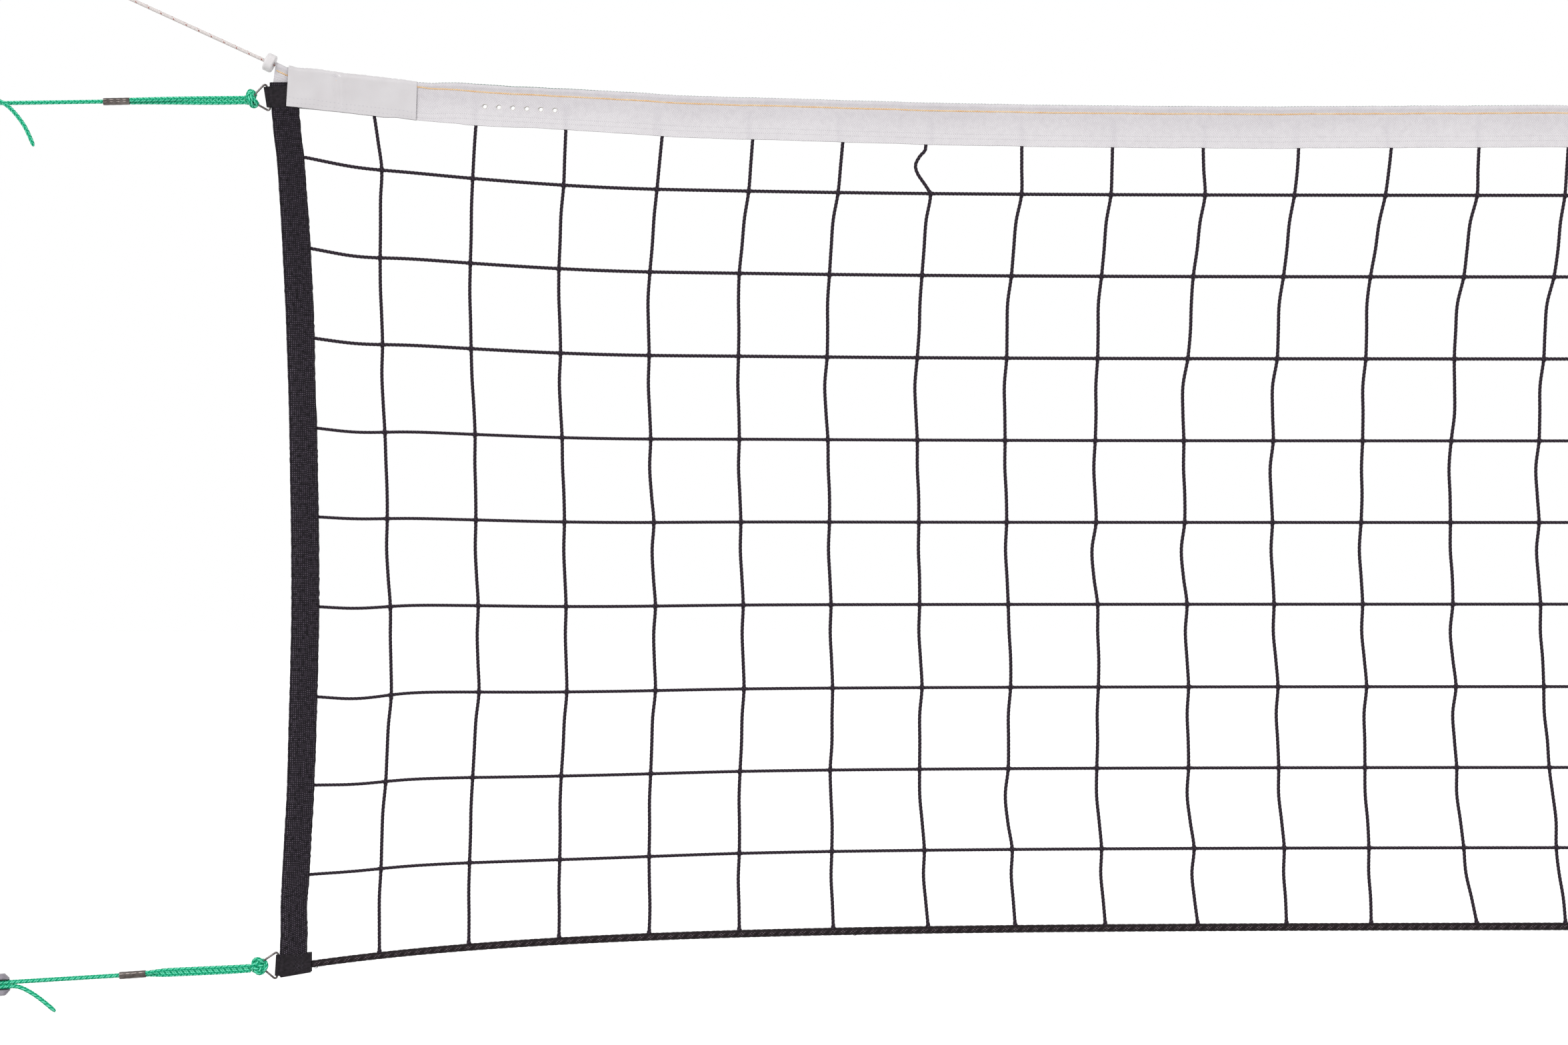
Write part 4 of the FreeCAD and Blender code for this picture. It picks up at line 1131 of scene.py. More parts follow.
@dataclass
class Twines:
    """The net's upright and level twines, with a small knot where they cross and a flare at each foot.

    Attributes:
        count: Upright twines.
        waist_push: How far the twines near the band bow away from it.
        waist_pull: How far those half the way to the net's middle bow towards the band.
        front: How far the level twines lie in front of the upright ones.
        places: X of the seen upright twines in the photograph at 2000 pixels across: at the tape's lower
            edge, at each row and at the foot. They were read by eye, and the twelfth twine's were changed
            after a scratch script compared the render with the photograph.
        scale: Millimetres for one of those pixels.
        origin: X of the net's end in them.
        row_lean: How far a row's crossings stand from a plain bow, tape to foot, where no place was read. A
            scratch script worked it out from the places.
        row_drop: How far a row hangs below its even place, top row first, worked out in the same way.
        first_drop: The same for the row's first cell alone.
        wander: How far the crossings that weren't read stray by chance.
        slack: How far a twine strays between crossings.
        knot: How much thicker a twine is at a crossing, as a share.
        nudge: How far the twines bend past each other where they cross.
        cover: Height of the tape that hides a twine's head.
        curled_twine: Number of the twine that curls under the tape.
        curl: Its curl: share of the way down to the first row, and how far aside.
        step: Distance between the rings of a finely made twine.
        even_relief: Relief of a twine whose twist isn't made.
    """

    diameter: float = 3.8
    count: int = 92
    first_inset: float = 116.0
    second_inset: float = 228.0
    first_foot: float = 119.0
    waist_push: float = 13.0
    waist_pull: float = 52.0
    front: float = 2.9
    places: tuple[tuple[int, ...], ...] = (
        (477, 487, 485, 488, 491, 494, 498, 499, 492, 486, 484),
        (608, 603, 600, 601, 606, 607, 610, 611, 603, 599, 598),
        (722, 719, 713, 715, 717, 720, 722, 723, 716, 714, 713),
        (845, 838, 829, 828, 830, 834, 836, 836, 830, 828, 828),
        (960, 955, 943, 942, 943, 945, 948, 949, 944, 943, 943),
        (1075, 1069, 1058, 1055, 1056, 1058, 1060, 1062, 1059, 1061, 1063),
        (1183, 1187, 1176, 1170, 1170, 1172, 1173, 1176, 1173, 1179, 1184),
        (1303, 1303, 1290, 1284, 1282, 1284, 1286, 1289, 1286, 1291, 1295),
        (1418, 1417, 1405, 1400, 1397, 1398, 1400, 1401, 1399, 1405, 1410),
        (1536, 1537, 1522, 1515, 1510, 1511, 1514, 1516, 1516, 1523, 1528),
        (1653, 1651, 1637, 1629, 1624, 1623, 1625, 1630, 1631, 1638, 1641),
        (1773, 1767, 1748, 1742, 1738, 1736, 1738, 1743, 1741, 1746, 1749),
        (1887, 1884, 1867, 1855, 1851, 1850, 1853, 1857, 1858, 1867, 1884),
        (2000, 1996, 1982, 1969, 1963, 1963, 1965, 1969, 1976, 1985, 1997),
    )
    scale: float = 0.8741
    origin: float = 345.2
    row_lean: tuple[float, ...] = (3.0, 4.5, -1.5, -2.0, 0.3, 2.5, 4.5, 4.9, 0.3, -0.5, 0.0)
    row_drop: tuple[float, ...] = (-0.3, 0.2, 1.2, 2.1, 2.6, 3.2, 4.6, 4.2, 3.1)
    first_drop: tuple[float, ...] = (2.2, 3.7, 3.0, 3.7, 2.2, 3.7, 6.0, 3.0, 1.5)
    wander: float = 1.6
    slack: float = 0.9
    knot: float = 0.35
    nudge: float = 0.7
    cover: float = 46.0
    curled_twine: int = 6
    curl: tuple[tuple[float, float], ...] = (
        (-0.2, 0.0), (0.1, 0.0), (0.25, -7.0), (0.42, -12.5), (0.6, -11.5), (0.8, -6.0), (1.0, 0.0),
    )
    step: float = 1.5
    even_relief: float = 0.76
    seed: int = 4

    def level_height(self, row: int, inset: np.ndarray) -> np.ndarray:
        """Height of a level twine: the part's own, a little lower away from the band."""
        lower = self.row_drop[row] * smooth(inset, 60.0, 320.0)
        lower = lower + self.first_drop[row] * bell(inset - 95.0, 45.0)
        return HANG.row_height(row, inset) - lower - 1.2 * bell(inset - 381.0, 110.0)

    def plain_places(
        self, heights: np.ndarray, head: float, foot: float, chance: np.random.Generator
    ) -> np.ndarray:
        """Insets of an unseen twine at its crossings: a straight line, a bow, a row's lean and chance."""
        share = (heights[0] - heights) / (heights[0] - heights[-1])
        inset = head + (foot - head) * share
        pull = self.waist_push * (1 - inset / HANG.half_length)
        pull = pull - self.waist_pull * np.sin(math.pi * inset / HANG.half_length)
        lean = np.array(self.row_lean)
        return inset + pull * np.sin(math.pi * share) + lean + chance.normal(0.0, self.wander, len(lean))

    def upright_path(self, k: int, chance: np.random.Generator) -> np.ndarray:
        """Knots of an upright twine at the left half.

        Args:
            k: Number of the twine, from the band.
            chance: Source of what is left to chance.

        Returns:
            Points down the twine: inside the tape, at each crossing, at the foot, and two in each cell.
        """
        head_pitch = (2 * HANG.half_length - 2 * self.second_inset) / (self.count - 3)
        foot_pitch = (2 * HANG.half_length - 2 * self.first_foot) / (self.count - 1)
        head = self.second_inset + (k - 1) * head_pitch if k else self.first_inset
        foot = self.first_foot + k * foot_pitch
        top = float(HANG.tape_top(head)) - HANG.fold_outer - 6.8
        bottom = float(HANG.row_height(HANG.rows, foot)) + 2.6
        crossings = [float(self.level_height(row, np.array(head))) for row in range(HANG.rows)]
        heights = np.array([top, *crossings, bottom])
        across = self.plain_places(heights, head, foot, chance)
        if k < len(self.places):
            across = self.scale * (np.array(self.places[k]) - self.origin)
            hidden = float(HANG.tape_top(head)) - self.cover
            across[0] = across[1] + (across[0] - across[1]) * (top - crossings[0]) / (hidden - crossings[0])
        loose = self.slack * float(smooth(head, 100.0, 1500.0)) + 0.5
        rows, fine = np.arange(11), np.linspace(0, 10, 31)
        x, z = np.interp(fine, rows, across), np.interp(fine, rows, heights)
        x[:-1] += np.repeat(chance.normal(0.0, loose, 10), 3) * np.tile([0.0, 1.0, 0.9], 10)
        x[3:-1] -= np.tile([0.0, 0.9 + 0.12 * min(k, 12), 0.4 + 0.04 * min(k, 12)], 9)
        return np.stack([x - HANG.half_length, np.zeros(31), z], 1)

    def curled(self, path: np.ndarray) -> np.ndarray:
        """The curled twine's path, eased through the curl's points."""
        edge = float(HANG.tape_top(path[0, 0] + HANG.half_length)) - self.cover
        row = float(self.level_height(0, path[0, 0] + HANG.half_length))
        knots = np.array([(aside, 0.0, share) for share, aside in self.curl])
        eased = curved(knots, 0.05)
        share = (edge - path[:, 2]) / (edge - row)
        aside = np.interp(share, eased[:, 2], eased[:, 0], 0.0, 0.0)
        return path + aside[:, None] * [1.0, 0.0, 0.0]

    def thickness(self, path: np.ndarray, crossing: np.ndarray) -> np.ndarray:
        """Radius along a twine: r (1 + knot e^(-(d / 2.4)^2)), d being the distance to the nearest crossing.

        At the foot, where it goes into the rope, it is flared by half as much again.
        """
        away = np.abs(path[:, None, :] - crossing[None]).max(2).min(1)
        flare = 0.5 * bell(path[:, 2] - path[-1, 2], 3.4)
        return self.diameter / 2 * (1 + self.knot * bell(away, 2.4) + flare)

    def twisted(self, path: np.ndarray, radius: np.ndarray) -> Patch:
        """A three-strand twine: its ridges stand where cos(3 angle - turns along) is 1."""
        made = tube(path, radius, 6)
        turn = TURN * lengths_along(path)[:, None] / 4.2
        angle = np.linspace(0.0, TURN, 6, endpoint=False)[None]
        # The relief also paints the ridges lighter and the grooves darker, as light and shade, in the twine's
        # finish
        made.relief = 0.62 + 0.38 * np.cos(3 * angle - turn)
        centre = made.points.mean(1, keepdims=True)
        made.points = centre + (made.points - centre) * (0.82 + 0.28 * made.relief)[..., None]
        return made

    def plain(self, path: np.ndarray, radius: np.ndarray) -> Patch:
        """A twine seen from afar, with an even relief."""
        made = tube(path, radius, 6)
        made.relief = np.full(made.points.shape[:2], self.even_relief)
        return made

    def near_crossings(self, at: np.ndarray) -> np.ndarray:
        """Places along a twine that is made coarsely: five at each crossing and three in each cell."""
        spread = np.array([-5.0, -2.4, 0.0, 2.4, 5.0])
        near = (at[:, None] + spread).ravel()
        cells = (at[:-1, None] + (at[1:] - at[:-1])[:, None] * np.array([0.25, 0.5, 0.75])).ravel()
        return np.unique(np.clip(np.concatenate([near, cells]), at[0], at[-1]))

    def make(self) -> None:
        """Build the twines."""
        chance = np.random.default_rng(self.seed)
        paths = [self.upright_path(k, chance) for k in range(self.count // 2)]
        mirror = np.array([-1.0, 1.0, 1.0])
        paths += [p * mirror for p in paths]
        near, far = [], []
        rows = np.array([self.row_inset(p) for p in paths])
        for k, knots in enumerate(paths):
            dense = curved(knots, self.step)
            crossing = knots[3:30:3]
            dense[:, 1] -= self.nudge * bell(np.abs(dense[:, None, 2] - crossing[None, :, 2]).min(1), 6.0)
            if k == self.curled_twine:
                dense = evenly(self.curled(dense), self.step)
            if k < len(self.places):
                near.append(self.twisted(dense, self.thickness(dense, crossing)))
            else:
                at = self.near_crossings(np.concatenate([[-dense[0, 2]], -crossing[:, 2], [-dense[-1, 2]]]))
                sparse = np.stack([np.interp(at, -dense[:, 2], dense[:, axis]) for axis in range(3)], 1)
                far.append(self.plain(sparse, self.thickness(sparse, crossing)))
        for name, patches in (("net_uprights_near", near), ("net_uprights_far", far)):
            piece = build(name, patches, BLACK_TWINE, "net")
            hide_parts("net_vertical_strands")
        levels = [self.level_twine(row, np.sort(rows[:, row])) for row in range(HANG.rows)]
        piece = build("net_level_twines", levels, BLACK_TWINE, "net")
        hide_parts("net_horizontal_strands")

    def row_inset(self, knots: np.ndarray) -> np.ndarray:
        """X of an upright twine at each row."""
        return knots[3:30:3, 0]

    def level_twine(self, row: int, crossings: np.ndarray) -> Patch:
        """One level twine, from inside one band to inside the other, finely made in the seen part.

        Args:
            row: Its number from the top.
            crossings: X of the upright twines at its height.

        Returns:
            The twine.
        """
        z = float(HANG.row_height(row, 0.0))
        start = float(HANG.band_edge(z)) + 4.2
        half = HANG.half_length
        near = np.arange(start - half, SEEN - half, self.step)
        later = crossings[crossings > near[-1] + 8]
        x = np.concatenate([near, self.near_crossings(np.concatenate([later, [half - start]]))])
        inset = half - np.abs(x)
        depth = self.front * smooth(inset, start + 24.0, start + 56.0)
        gap = np.abs(x[:, None] - crossings[None]).min(1)
        depth = depth - self.nudge * bell(gap, 6.0)
        path = np.stack([x, -depth, self.level_height(row, inset)], 1)
        radius = self.diameter / 2 * (1 + self.knot * bell(gap, 2.6))
        made = self.twisted(path, radius)
        made.relief[len(near):] = self.even_relief
        return made


@dataclass
class BottomRope:
    """The black braided rope along the foot of the net, with a few loose fibres under it."""

    diameter: float = 8.0
    start: float = 15.4
    seed: int = 7
    lay: Lay = field(default_factory=lambda: Lay(4, 11.3, 0.7, 0.9, roll=0.125))

    def make(self) -> None:
        """Build the rope, finely in the seen part, and the fibres."""
        end = 2 * HANG.half_length - self.start
        along = np.concatenate([np.arange(self.start, SEEN, 1.2), np.arange(SEEN, end, 2.7), [end]])
        inset = HANG.inset(along)
        height = HANG.row_height(HANG.rows, inset) - 0.6
        path = np.stack([along - HANG.half_length, np.zeros_like(along), height], 1)
        radius = self.diameter / 2 + 0.1 + 0.4 * smooth(inset, 60.0, 400.0)
        piece = build("foot_rope_braid", [tube(path, radius, 20, self.lay)], BLACK_ROPE, "net")
        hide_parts("bottom_rope")
        piece = build("foot_rope_fibres", self.fibres(), BLACK_THREAD, "net")

    def fibres(self) -> list[Patch]:
        """Loose loops and ends of fibre: short arcs that leave the rope's underside and come back or stop."""
        chance = np.random.default_rng(self.seed)
        made = []
        for inset, count in ((48.0, 3), (75.0, 1), (646.0, 2), (748.0, 2), (862.0, 3), (1245.0, 1)):
            for _ in range(count):
                at = inset + chance.normal(0.0, 3.0)
                z = float(HANG.row_height(HANG.rows, at)) - self.diameter / 2 + 0.6
                way, drop = chance.uniform(-5.0, 6.0), chance.uniform(0.5, 1.9)
                knots = [[0, 0, 0.3], [way * 0.35, -0.8, -drop]]
                knots += [[way * 0.8, -1.0, -drop * 0.9], [way, -0.6, 0.2]]
                path = curved(np.array(knots) + [at - HANG.half_length, 0, z], 0.6)
                made.append(tube(path, 0.26, 4))
        return made


@dataclass
class TopTape:
    """The white tape: folded over the head rope, sewn, and punched for lacing near its ends.

    Attributes:
        height: Its height when folded.
        half: Half its thickness below the rope.
        cloth: Thickness of the cloth.
        fold: Outer radius of its fold.
    """

    height: float = 46.0
    half: float = 2.4
    cloth: float = 0.8
    fold: float = 3.4
    first_hole: float = 239.0
    hole_pitch: float = 15.6
    holes: int = 6
    hole_drop: float = 24.4
    hole_radius: float = 2.3

    def stations(self) -> np.ndarray:
        """Distances along the tape: 4 mm apart in the seen part, 30 mm beyond, and 6 mm at the far end."""
        end = 2 * HANG.half_length - HANG.tape_inset
        parts = [np.arange(HANG.tape_inset, SEEN, 4.0), np.arange(SEEN, end - 330.0, 30.0)]
        return np.concatenate([*parts, np.arange(end - 330.0, end - 3.0, 6.0), [end]])

    def seam_drop(self, inset: np.ndarray) -> np.ndarray:
        """Distance of the orange seam below the upper edge: nearer to it where the sleeve ends."""
        return 8.8 - 3.8 * bell(np.asarray(inset) - 150.0, 45.0)

    def ripple(self, along: np.ndarray, seed: int) -> np.ndarray:
        """Small waves from -1 to 1: a sum of sines of five wavelengths from 14 to 120 mm."""
        chance = np.random.default_rng(seed)
        waves = [np.sin(TURN * along / w + chance.uniform(0, TURN)) for w in (120.0, 67.0, 41.0, 23.0, 14.0)]
        return sum(w * a for w, a in zip(waves, (0.3, 0.26, 0.2, 0.14, 0.1)))

    def top(self, along: np.ndarray) -> np.ndarray:
        """Height of the tape's upper edge with its small waves."""
        return HANG.tape_top(HANG.inset(along)) + 0.35 * self.ripple(along, 1)

    def half_width(self, drop: np.ndarray, inset: np.ndarray) -> np.ndarray:
        """Half the tape's thickness at a distance below its edge.

        It narrows from the fold to the flat part with e^(-d^2), is drawn in along the seams, and stands
        out a little over each twine inside.
        """
        plain = self.half + (self.fold - self.half) * bell(drop - self.fold, 2.4)
        sewn = 0.1 * sum(bell(drop - row, 0.8) for row in TWILL.seams)
        sewn = 0.2 * bell(drop - self.seam_drop(inset), 1.3) + sewn
        return plain - sewn + 0.12 * self.over_twines(inset) * smooth(drop, 12.0, 20.0)

    def over_twines(self, inset: np.ndarray) -> np.ndarray:
        """1 over a twine inside the tape, else 0."""
        first, second, count = Twines.first_inset, Twines.second_inset, Twines.count
        pitch = (2 * HANG.half_length - 2 * second) / (count - 3)
        from_second = np.abs((inset - second + pitch / 2) % pitch - pitch / 2)
        return np.where(inset > 180.0, bell(from_second, 3.2), bell(inset - first, 3.2))

    def outer(self) -> tuple[np.ndarray, np.ndarray, np.ndarray]:
        """The tape's outer surface, from its front edge over the fold to its back edge.

        Its end slants outwards down to the corner loop and, hidden in it, keeps clear of the ring's bar.

        Returns:
            Points, their map, and their tone, which is 1 over a twine.
        """
        along = self.stations()[:, None]
        inset = HANG.inset(along)
        top = self.top(along)
        deep = HANG.tape_top(inset) - HANG.tape_top(np.maximum(inset, 18.0)) + HANG.tape_height(inset)
        leg = np.concatenate([np.linspace(1.0, 0.24, 20), np.linspace(0.215, 0.075, 9)])[None, :]
        drop = leg * deep
        turn = np.linspace(math.pi, 0.0, 13)[None, 1:-1]
        arc = self.fold * (1 - np.sin(turn)) + 0 * along
        loose = smooth(drop, 3.0, 9.0)
        front = -self.half_width(drop, inset) - 0.13 * self.ripple(along + 3 * drop, 2) * loose
        back = self.half_width(drop, inset) + 0.13 * self.ripple(along - 3 * drop, 3) * loose
        depth = np.concatenate([front, self.fold * np.cos(turn) + 0 * along, back[:, ::-1]], 1)
        below = np.concatenate([drop, arc, drop[:, ::-1]], 1)
        near_end = bell(inset - HANG.tape_inset, 22.0)
        clear = 5.0 * smooth(below, 27.5, 33.0)
        lean = (1.2 - 6.1 * np.minimum(below, 29.0) / self.height + clear) * near_end
        lean = lean * np.sign(HANG.half_length - along)
        points = np.stack([along + lean - HANG.half_length, depth, top - below], -1)
        across = np.concatenate([drop, arc, -drop[:, ::-1]], 1)
        cloth = np.stack([np.broadcast_to(along, across.shape), across], -1)
        tone = self.over_twines(inset) * smooth(below, 14.0, 22.0)
        return points, cloth, tone

    def hole_places(self) -> list[tuple[float, float]]:
        """X and Z of each lacing hole's centre."""
        insets = [self.first_hole + i * self.hole_pitch for i in range(self.holes)]
        places = [(i - HANG.half_length, float(HANG.tape_top(i)) - self.hole_drop) for i in insets]
        return places + [(-x, z) for x, z in places]

    def punch(self, tape: bpy.types.Object) -> None:
        """Cut the lacing holes with one cutter of as many rods, and keep the result in the mesh."""
        angle = np.linspace(0.0, TURN, 28, endpoint=False)
        rods = []
        for x, z in self.hole_places():
            across, up = self.hole_radius * np.cos(angle), self.hole_radius * np.sin(angle)
            circle = np.stack([x + across, 0 * angle, z + up], 1)
            rods.append(Patch(np.stack([circle + [0, y, 0] for y in (-9.0, 9.0)])))
        cutter = build("tape_punch", rods, HOLE_THREAD, "net")
        cut = tape.modifiers.new("holes", "BOOLEAN")
        cut.object, cut.operation, cut.solver = cutter, "DIFFERENCE", "EXACT"
        bpy.context.view_layer.update()
        punched = bpy.data.meshes.new_from_object(tape.evaluated_get(bpy.context.evaluated_depsgraph_get()))
        tape.modifiers.clear()
        tape.data = punched
        punched.name = tape.name
        bpy.data.objects.remove(cutter)
        TWILL.dress(tape)

    def stitch_path(self, along: np.ndarray, face: int) -> np.ndarray:
        """The orange seam's line on the front, face -1, or the back, face 1."""
        inset = HANG.inset(along)
        drop = self.seam_drop(inset)
        depth = self.half_width(drop, inset) + 0.22
        top = self.top(along)
        return np.stack([along - HANG.half_length, face * depth, top - drop], 1)

    def seam(self) -> list[Patch]:
        """The zigzag stitch, which goes over and back every 2.6 mm, and every 5.2 mm out of view."""
        made = []
        end = 2 * HANG.half_length - 8.0
        for face in (-1, 1):
            near = np.arange(7.0, SEEN, 0.52 if face < 0 else 1.3)
            along = np.concatenate([near, np.arange(SEEN, end, 2.6)])
            phase = math.pi * along / np.where(along < SEEN, 1.3, 2.6)
            off = np.stack([0 * along, face * 0.15 * np.sin(phase), 0.6 * np.cos(phase)], 1)
            made.append(tube(self.stitch_path(along, face) + off, 0.46, 5))
        return made

    def tracer(self) -> Patch:
        """The green yarn along the fold: it shows as dashes, for it dips into the cloth every 3.6 mm."""
        along = np.arange(7.0, 2 * HANG.half_length - 7.0, 0.9)
        inset = HANG.inset(along)
        top = self.top(along)
        turn = 0.1 * self.ripple(along, 9) - 0.25 + 0.75 * bell(inset - 287.0, 60.0)
        turn = turn + 0.7 * bell(inset - 12.0, 10.0)
        reach = self.fold + 0.2 * np.sin(TURN * along / 3.6) - 0.02
        path = [along - HANG.half_length, -reach * np.sin(turn), top - self.fold + reach * np.cos(turn)]
        return tube(np.stack(path, 1), 0.36, 4)

    def rims(self) -> list[Patch]:
        """A thin sewn rim round each hole, on both faces: a ring of radius 2.52 that is 0.34 mm thick."""
        angle = np.linspace(0.0, TURN, 32, endpoint=False)
        made = []
        for x, z in self.hole_places():
            for face in (-1, 1):
                reach = 2.52 + 0.05 * np.cos(8 * angle)
                depth = face * (self.half + 0.02) + 0 * angle
                path = np.stack([x + reach * np.cos(angle), depth, z + reach * np.sin(angle)], 1)
                made.append(tube(path, 0.17, 5, closed=True))
        return made

    def make(self) -> None:
        """Build the tape, its threads and rims, and the rope in its fold."""
        points, cloth, tone = self.outer()
        tape = build("folded_tape", [thickened(points, cloth, self.cloth, tone)], TWILL, "net")
        self.punch(tape)
        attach(tape, "net")
        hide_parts("top_tape")
        orange = build("tape_orange_seam", self.seam(), ORANGE_THREAD, "net")
        green = build("tape_green_tracer", [self.tracer()], GREEN_THREAD, "net")
        rims = build("tape_hole_rims", self.rims(), HOLE_THREAD, "net")
        along = self.stations()[1:-1:4]
        inset = HANG.inset(along)
        path = np.stack([along - HANG.half_length, 0 * along, HANG.tape_top(inset) - self.fold], 1)
        core = build("head_rope_core", [tube(path, 2.0, 12)], WHITE_ROPE, "net")
        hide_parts("head_rope")


@dataclass
class EndSleeve:
    """The white vinyl sheet folded over the tape's end, the side band and the corner loop.

    Attributes:
        start: Inset of its outer end.
        length: Its length along the tape.
        skin: Thickness of the sheet.
        wide: Half its thickness over the corner loop.
        close: Half its thickness over the tape alone.
        shoulder: Inset about which it begins to close.
        waist: Inset about which it has closed.
        lift: How far its upper edge stands above the tape's.
        crest: Inset, and how much more than that it is there, both measured in the photograph.
            A scratch script measured both in the photograph.
    """

    side: Side
    start: float = 19.4
    length: float = 142.8
    skin: float = 0.6
    wide: float = 6.4
    close: float = 4.2
    shoulder: float = 38.0
    waist: float = 58.0
    lift: float = 0.9
    seed: int = 11
    crest: tuple[tuple[float, ...], ...] = (
        (18, 30, 44, 55, 63, 71, 80, 129, 144, 158, 166),
        (1.6, 0.3, 1.2, 1.4, 0.9, 1.1, 0.0, 0.3, 0.9, 0.4, -0.4),
    )

    def make(self) -> None:
        """Build the sleeve from its outer surface, whose half width eases from wide to close."""
        stretches = [np.linspace(self.start, 84.0, 34), np.linspace(86.0, self.start + self.length, 34)]
        inset = np.concatenate(stretches)[:, None]
        broad = self.wide + (self.close - self.wide) * smooth(inset, self.shoulder - 4, self.waist + 6)
        chance = np.random.default_rng(self.seed)
        rough = 0.22 * chance.normal(0.0, 1.0, inset.shape)
        top = HANG.tape_top(inset) + self.lift + rough + np.interp(inset, *self.crest)
        deep = top - HANG.tape_top(inset) + HANG.tape_height(inset) + 0.4
        leg = np.concatenate([np.linspace(1.0, 0.3, 20), np.linspace(0.27, 0.12, 7)])[None, :]
        drop = leg * deep
        turn = np.linspace(math.pi, 0.0, 15)[None, 1:-1]
        rise = 0.1 * deep
        arc = rise * (1 - np.sin(turn))
        crease = 1.0 * bell(inset - 71.5 - 0.12 * drop, 3.2) - 1.4 * bell(inset - 77.0 - 0.1 * drop, 3.2)
        folds = crease + 0.45 * np.sin(inset / 9.0 + drop / 14.0) * bell(inset - 62.0, 22.0)
        folds = folds + 0.3 * np.sin(inset / 21.0 - drop / 11.0)
        open_foot = 0.35 * smooth(drop, 30.0, 46.0) * np.sin(inset / 13.0)
        front = -(broad - folds + open_foot)
        back = broad - 0.5 * folds + open_foot
        bend = broad * np.cos(turn)
        depth = np.concatenate([front, bend, back[:, ::-1]], 1)
        below = np.concatenate([drop, arc, drop[:, ::-1]], 1)
        slant = 1.5 - 2.6 * below / 46.0 * (1 - 0.4 * (inset - self.start) / self.length)
        points = np.stack([inset + slant - HANG.half_length, depth, top - below], -1)
        across = np.concatenate([drop, arc, -drop[:, ::-1]], 1)
        cloth = np.stack([np.broadcast_to(inset, across.shape), across], -1)
        patch = thickened(points, cloth, self.skin)
        name = f"{self.side.value}_vinyl_sleeve"
        piece = build(name, self.side.patches([patch]), VINYL, "net")
        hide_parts(f"{self.side.value}_end_sleeve")


@dataclass
class SideBand:
    """The side band: webbing folded lengthwise over the ends of the level twines.

    Attributes:
        width: Its folded width.
        webbing: Thickness of the webbing.
        narrow: Half its thickness between the corner loops.
        wide: Half its thickness inside them.
        shifts: Height, and how far in from its even bow the outer edge stands there, both measured in
        the photograph. A scratch script measured both in the photograph.
        widths: Height, and the folded width there, measured in the same way.
    """

    side: Side
    width: float = 30.0
    webbing: float = 1.4
    narrow: float = 3.0
    wide: float = 4.0
    seed: int = 21
    shifts: tuple[tuple[float, ...], ...] = (
        (-461, -431, -401, -371, -342, -312, -223, -104, 45, 134, 193, 253, 312, 372, 402, 431, 451),
        (-0.2, -1.8, -1.7, -1.2, -0.9, -0.1, -0.5, 0.4, 0.0, 0.9, 1.5, 1.9, 2.4, 2.6, 2.3, 0.8, 0.3),
    )
    widths: tuple[tuple[float, ...], ...] = (
        (-461, -431, -401, -282, -253, 105, 134, 163, 193, 312, 372),
        (28.3, 27.6, 28.8, 28.8, 29.5, 29.5, 28.7, 28.7, 29.6, 29.9, 29.0),
    )

    def make(self) -> None:
        """Build the band from its outer surface: front edge, round fold at the outside, back edge."""
        head, foot = HANG.z_top - HANG.band_drop, HANG.z_foot + HANG.band_foot_rise
        z = np.linspace(head, foot, 330)[:, None]
        spread = np.maximum(1 - smooth(head - z, 34.0, 48.0), 1 - smooth(z - foot, 34.0, 48.0))
        out = self.narrow + (self.wide - self.narrow) * spread
        leg = np.concatenate([np.linspace(1.0, 0.88, 4), np.linspace(0.84, 0.07, 12)])[None, :]
        turn = np.linspace(math.pi, 0.0, 11)[None, 1:-1]
        chance = np.random.default_rng(self.seed)
        frayed = 0.16 * chance.normal(0.0, 1.0, z.shape)
        reach = leg * (np.interp(z, *self.widths) + frayed)
        swell = 0.3 * np.sin(reach / self.width * math.pi) * (1 - spread)
        edge = HANG.band_edge(z) + np.interp(z, *self.shifts) + 0.12 * chance.normal(0.0, 1.0, z.shape)
        fold = 1.9 * (1 - np.sin(turn)) + 0 * z
        across = np.concatenate([reach, fold, reach[:, ::-1]], 1)
        depth = np.concatenate([-(out + swell), out * np.cos(turn), (out + swell)[:, ::-1]], 1)
        points = np.stack([edge + across - HANG.half_length, depth, np.broadcast_to(z, across.shape)], -1)
        slanted = z - 0.36 * across * (1 - smooth(z - foot, 50.0, 110.0))
        cloth = np.stack([slanted, across * np.sign(depth + 0.01)], -1)
        folded = self.side.patches([thickened(points, cloth, self.webbing)])
        piece = build(f"{self.side.value}_webbing_band", folded, BAND_WEBBING, "net")
        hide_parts(f"{self.side.value}_side_band")


